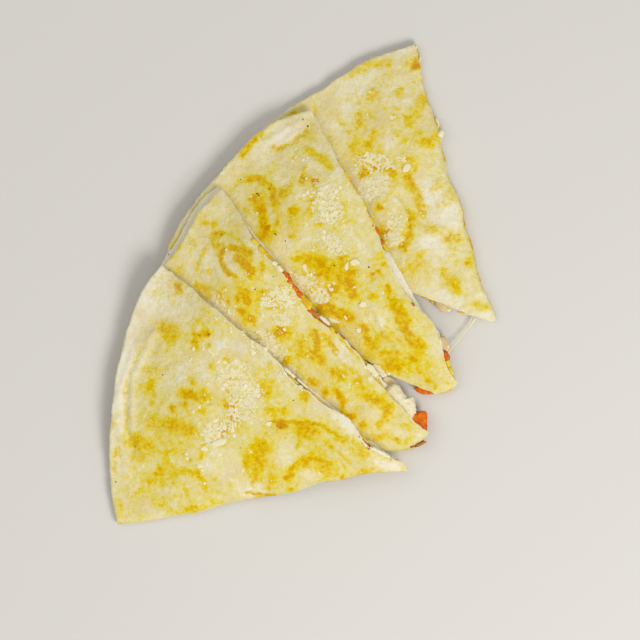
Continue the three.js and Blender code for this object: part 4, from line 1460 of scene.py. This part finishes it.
class Settler:
    """Finds the height of the tortillas' top under plan points."""

    def __init__(self, pieces: Sequence[bpy.types.Object]) -> None:
        """Joins the pieces into one search tree."""
        points, faces, first = [], [], 0
        for piece in pieces:
            points += [corner.co.copy() for corner in piece.data.vertices]
            faces += [[first + k for k in face.vertices] for face in piece.data.polygons]
            first = len(points)
        self.tree = BVHTree.FromPolygons(points, faces)

    def heights(self, plan: np.ndarray) -> np.ndarray:
        """Height in mm of the highest surface under each plan point, or NaN past the edges."""
        found = []
        down = Vector((0.0, 0.0, -1.0))
        for point in plan:
            hit = self.tree.ray_cast(Vector((point.real * MM, point.imag * MM, 0.2)), down)[0]
            found.append(hit.z / MM if hit else math.nan)
        return np.array(found)


def crumbs(
    plan: np.ndarray, base: np.ndarray, size: np.ndarray, flatness: float, rng: np.random.Generator
) -> tuple[np.ndarray, np.ndarray]:
    """Uneven grains: icosahedra stretched, jittered, tilted and turned at random.

    Args:
        plan: Plan points.
        base: Height of the surface under each.
        size: Length of each grain in mm.
        flatness: Height as a share of the length.
        rng: Random source.

    Returns:
        Points (grains x 12 corners) and triangles.
    """
    golden = (1 + 5 ** 0.5) / 2
    corners = [(0, s, t * golden) for s in (-1, 1) for t in (-1, 1)]
    shape = np.concatenate([np.roll(corners, shift, axis=1) for shift in (0, -1, 1)])
    shape = shape / np.linalg.norm(shape[0])
    near = np.linalg.norm(shape[:, None] - shape[None], axis=2) < 1.2
    triples = [
        (i, j, k) for i in range(12) for j in range(i + 1, 12) for k in range(j + 1, 12)
        if near[i, j] and near[j, k] and near[i, k]
    ]
    triples = [
        (i, j, k) if np.dot(np.cross(shape[j] - shape[i], shape[k] - shape[i]), shape[i]) > 0
        else (i, k, j) for i, j, k in triples
    ]
    count = len(plan)
    stretch = np.stack([
        np.ones(count), rng.uniform(0.5, 0.9, count), flatness * rng.uniform(0.7, 1.3, count),
    ], axis=1) * (size / 2)[:, None]
    grains = shape[None] * (1.0 + rng.uniform(-0.24, 0.24, (count, 12, 1))) * stretch[:, None, :]
    tilt = rng.normal(0.0, 0.15, count)[:, None]
    turn = rng.uniform(0.0, 2 * math.pi, count)[:, None]
    x, y, z = grains[..., 0], grains[..., 1], grains[..., 2]
    x, z = x * np.cos(tilt) - z * np.sin(tilt), x * np.sin(tilt) + z * np.cos(tilt)
    flat = (x + 1j * y) * np.exp(1j * turn) + plan[:, None]
    sunk = base - stretch[:, 2] * 0.4
    points = to_space(flat, z + sunk[:, None]).reshape(-1, 3)
    faces = (np.array(triples)[None] + 12 * np.arange(count)[:, None, None]).reshape(-1, 3)
    return points, faces


@dataclass(frozen=True)
class GratedCheese:
    """Finely grated hard cheese strewn over the wedges, thick in clusters and sparse between.

    Clusters are (x, y, length, width, turn, grains, mean size in mm); flakes are (x, y, length,
    width, turn).
    """

    clusters: tuple[tuple[float, ...], ...]
    flakes: tuple[tuple[float, ...], ...]
    seed: int = 77

    def density(self, point: np.ndarray) -> np.ndarray:
        """How thickly the cheese lies at each point, from each cluster's grains per area."""
        total = sum(
            oval[5] / (oval[2] * oval[3]) * np.exp(-(off_oval(point, oval) ** 2) * 0.9)
            for oval in self.clusters
        )
        return np.clip(total * 0.5, 0.0, 0.42)

    def grains(self, settler: Settler) -> bpy.types.Object:
        """Builds the grains: small heaps at random in each cluster, and grains about each heap."""
        rng = np.random.default_rng(self.seed)
        plans, sizes, piles = [], [], []
        for x, y, length, width, turn, grains, mean in self.clusters:
            heaps, count = max(int(grains) // 5, 1), int(grains) // 3
            reach = np.minimum(0.95 * np.abs(rng.normal(size=heaps)) ** 0.75, 2.1)
            angle = rng.uniform(0.0, 2 * math.pi, heaps)
            local = reach * (length / 2 * np.cos(angle) + 0.5j * width * np.sin(angle))
            local = local[rng.integers(0, heaps, count)]
            local = local + 0.95 * mean * (rng.normal(size=count) + 1j * rng.normal(size=count))
            plans.append(complex(x, y) + local * turned(turn))
            sizes.append(np.clip(1.6 * mean * np.exp(rng.normal(0.0, 0.4, count)), 0.7, 3.2))
            piles.append(rng.uniform(-0.1, 0.15, count) * mean)
        plan, size, pile = np.concatenate(plans), np.concatenate(sizes), np.concatenate(piles)
        base = settler.heights(plan)
        kept = ~np.isnan(base) & (layered_noise(plan, 3.0, self.seed + 5) > 0.0)
        points, faces = crumbs(plan[kept], base[kept] + pile[kept], size[kept], 0.15, rng)
        return add_piece(
            "grated_cheese_grains", points, faces, Food.GRATED.material(), "melted_filling", (),
            {"tone": np.repeat(rng.uniform(0.1, 0.8, kept.sum()), 12)}, flat=True,
        )

    def larger_flakes(self, settler: Settler) -> bpy.types.Object:
        """Builds the flakes, each sunk a little into the top."""
        chunks = []
        for number, row in enumerate(self.flakes):
            outline = uneven_oval(row, 20, 1.0, 0.5, (2.4, 1.6, self.seed + number))
            floor = float(np.nanquantile(settler.heights(outline), 0.7)) - 0.2
            chunks.append(rounded_chunk(outline, floor, floor + 0.25 * row[3], 0.25, number, 0.7))
        points, faces = joined(chunks)
        return add_piece(
            "grated_cheese_flakes", points, faces, Food.GRATED.material(), "melted_filling", (),
            {"tone": np.full(len(points), 0.45)},
        )


GRATED = GratedCheese(
    clusters=(
        (10.2, 41.6, 15, 19, 0, 300, 1.05), (16.5, 35.3, 6, 5, 0, 45, 1.1),
        (14, 33.7, 9, 7, 0, 60, 1), (16.2, 18.9, 12, 9, -20, 120, 1),
        (0.9, 1.7, 12, 9, 0, 110, 1.05), (8.5, -5.9, 10, 8, 0, 95, 1.05),
        (12, 24, 26, 40, 25, 210, 0.85), (17, -3, 34, 18, -25, 130, 0.85),
        (25.2, 11.2, 6, 5, 0, 18, 1.2), (2, 60, 26, 24, 0, 60, 0.75),
        (-14, 38, 26, 34, 20, 70, 0.7), (35, 60.6, 24, 8, -6, 210, 1),
        (30.1, 46.4, 13, 11, 0, 130, 1.05), (37.3, 48.8, 12, 10, 0, 110, 1),
        (44.6, 29.1, 9, 9, 0, 75, 1), (43.6, 22, 8, 7, 0, 60, 1), (38, 42, 26, 52, 8, 260, 0.85),
        (38, 80, 34, 40, 0, 70, 0.75), (66, 30, 34, 50, 30, 60, 0.7),
        (-39, -12, 20, 10, -47, 170, 1.05), (-16.9, -7.8, 9, 8, 0, 80, 1),
        (-8.5, -5.8, 13, 9, -45, 150, 1.05), (-10.6, -17.1, 9, 7, 0, 65, 1),
        (-25.3, -25.5, 7, 5, -45, 42, 1), (-19, -25.9, 9, 7, -45, 70, 1),
        (-15.5, -32.3, 14, 9, -40, 160, 1.05), (-5.5, -43.1, 9, 6, -45, 60, 1),
        (-1, -48.1, 8, 5, -45, 48, 1), (-14, -20, 54, 22, -45, 260, 0.8),
        (36, -43, 13, 5, -38, 90, 1.5), (20, -45, 40, 20, -40, 80, 0.75),
        (-40, 14, 30, 22, -40, 50, 0.7), (-33.4, -42.9, 17, 15, 0, 290, 1.05),
        (-49.1, -32.5, 14, 9, 0, 55, 0.95), (-37.5, -70.5, 42, 11, 55, 250, 0.95),
        (-28.9, -60.4, 11, 10, 0, 160, 1.1), (-44.6, -71.6, 10, 9, 0, 120, 1.05),
        (-23.6, -53, 9, 8, 0, 80, 1.05), (-38, -54, 30, 30, 0, 200, 0.85),
        (-52, -82, 24, 20, 0, 80, 0.85), (-20, -72, 60, 44, -20, 150, 0.7),
        (-66, -60, 34, 70, 10, 80, 0.7),
    ),
    flakes=(
        (-41, -76.6, 7, 3, 20), (-47.8, -79.7, 4, 2.2, 10), (-50, -88.3, 3, 2, 0),
        (-56.8, -82.4, 2.2, 1.6, 0), (-29.3, -90.5, 2.2, 1.7, 90), (-16.8, -67.4, 3, 2.4, 0),
        (14.9, -17.2, 6, 2.2, -15), (25.2, 11.2, 4, 3.2, 0), (21.2, 8.9, 4, 2, 80),
        (29.3, -9.5, 4, 3, 0), (27, -22.1, 2.6, 2.4, 0), (50.5, 57.2, 4.6, 3.2, 60),
        (32.8, -40.2, 5, 3.2, -40), (36, -40.6, 5.4, 3.4, -35), (35.2, -43.4, 5.2, 3.4, -50),
        (38.6, -43.2, 5.4, 3.6, -40), (37.2, -46, 3.4, 2.4, -60), (40.4, -44.6, 2.8, 1.8, -20),
        (-37.6, -48.5, 2.6, 2, 0), (8.6, 44.5, 2.8, 2.2, 0), (31.2, 44, 2.8, 2.2, 0),
        (-43.2, -66, 2.6, 2, 30),
    ),
)


@dataclass(frozen=True)
class Seasoning:
    """Cracked pepper and herb flakes: (x, y, size) of each, and tone from 0 (black) to 1 (tan)."""

    flecks: tuple[tuple[float, float, float, float], ...]
    seed: int = 91

    def build(self, settler: Settler) -> bpy.types.Object:
        """Builds all the flecks as one mesh."""
        x, y, size, tone = np.array(self.flecks).T
        plan = x + 1j * y
        rng = np.random.default_rng(self.seed)
        points, faces = crumbs(plan, settler.heights(plan) + 0.1, size, 0.45, rng)
        values = {"tone": np.repeat(tone, 12) * 0.8}
        return add_piece("cracked_pepper", points, faces, Food.SPECKS.material(), None, (), values)


SEASONING = Seasoning((
    (2.5, 77.4, 1.4, 0), (-22.2, 44.4, 1.2, 0.3), (-21.5, 43.6, 0.9, 0.2), (-30.4, 51.4, 0.8, 0.1),
    (-16.2, 46.8, 0.7, 0.2), (-13.5, 24.9, 0.9, 0.6), (-13.1, 24.3, 0.7, 0.4),
    (-8.5, 21.3, 0.7, 0.1), (-14.2, 3.9, 0.8, 0), (-39.5, 24.5, 0.8, 0.5), (-65.6, 15, 0.9, 0.2),
    (32, 8.6, 1.1, 0), (15.3, 9.4, 0.8, 0.2), (76.1, 24.7, 0.7, 0.1), (-91.7, -96.3, 0.9, 0.3),
    (-30.4, -79.2, 0.8, 0.5), (-4.6, -56, 0.9, 0.8), (-8.5, -74.4, 0.8, 0.7), (0, 80.8, 1, 1),
    (-23.2, -2.2, 1.2, 1), (-68.3, -43.8, 1.1, 1), (-11, -69.4, 1.2, 1), (-45.6, -24, 1.1, 1),
    (27, 12, 0.6, 0.3), (44, 71, 0.6, 0.4),
))


# Studio


@dataclass(frozen=True)
class Studio:
    """Pale floor, soft light and a camera that looks straight down."""

    centre: complex = 8.3 - 17.05j  # mm, what the camera looks at
    view_width: float = 311.8  # mm of the surface across the picture
    lens: float = 180.0
    sensor: float = 36.0
    reach: float = 3.0  # m from the middle of the floor to its sides
    gap: float = 0.0003  # m between floor and part

    def floor(self) -> None:
        """A plain matt floor under the part."""
        finish = {"Base Color": linear("#d9d6d0"), "Roughness": 0.8, "Specular IOR Level": 0.2}
        mesh = bpy.data.meshes.new("floor")
        ways = ((-1, -1), (1, -1), (1, 1), (-1, 1))
        corners = [(x * self.reach, y * self.reach, -self.gap) for x, y in ways]
        mesh.from_pydata(corners, [], [(0, 1, 2, 3)])
        mesh.materials.append(Shader("plain_matt_floor").surface(finish))
        floor = bpy.data.objects.new("floor", mesh)
        bpy.context.scene.collection.objects.link(floor)

    def lamp(self, name: str, place: tuple[float, float, float], size: float, power: float) -> None:
        """A square area light aimed at the part."""
        light = bpy.data.lights.new(name, "AREA")
        light.size, light.energy = size, power
        lamp = bpy.data.objects.new(name, light)
        lamp.location = place
        lamp.rotation_euler = (-Vector(place)).to_track_quat("-Z", "Y").to_euler()
        bpy.context.scene.collection.objects.link(lamp)

    def camera(self) -> None:
        """A long lens straight above the middle of the view."""
        camera = bpy.data.cameras.new("camera")
        camera.lens, camera.sensor_width, camera.clip_start = self.lens, self.sensor, 0.01
        eye = bpy.data.objects.new("camera", camera)
        above = self.view_width * self.lens / self.sensor + CAD_BOX[1][2] / MM / 2
        eye.location = (self.centre.real * MM, self.centre.imag * MM, above * MM)
        bpy.context.scene.collection.objects.link(eye)
        bpy.context.scene.camera = eye

    def build(self) -> None:
        """Sets up floor, lights, surroundings, camera and colour handling."""
        self.floor()
        self.lamp("key", (0.62, -0.66, 1.05), 0.6, 11.6)
        self.lamp("fill", (-0.7, 0.3, 1.4), 1.2, 4.8)
        world = bpy.data.worlds.new("soft_surroundings")
        world.use_nodes = True
        background = world.node_tree.nodes["Background"]
        background.inputs["Color"].default_value = linear("#f4f3f0")
        background.inputs["Strength"].default_value = 0.485
        bpy.context.scene.world = world
        self.camera()
        bpy.context.scene.view_settings.view_transform = "Standard"


# Where a wedge's filling stays back from its right edge
BARE = {"c": ((64, 20, 3.4),), "b": ((84, 30, -1.6),), "a": ((22, 12, -0.4),)}


def main() -> None:
    """Builds the wedges from the lowest up, then filling, toppings and studio."""
    logging.basicConfig(level=logging.INFO, format="%(name)s: %(message)s")
    wedges = {wedge.name: wedge for wedge in (WEDGE_D, WEDGE_C, WEDGE_B, WEDGE_A)}
    crust = ToastedFlourTortilla().material()
    tortillas = [FoldedTortilla(wedge).build(crust) for wedge in wedges.values()]
    for wedge in wedges.values():
        MeltedFilling(wedge, BARE.get(wedge.name, ())).build()
    for piece in DICED:
        piece.build()
    for bits in EDGE_BITS:
        bits.build(wedges)
    STRING.build()
    settler = Settler(tortillas)
    GRATED.grains(settler)
    GRATED.larger_flakes(settler)
    SEASONING.build(settler)
    Studio().build()


if __name__ == "__main__":
    main()
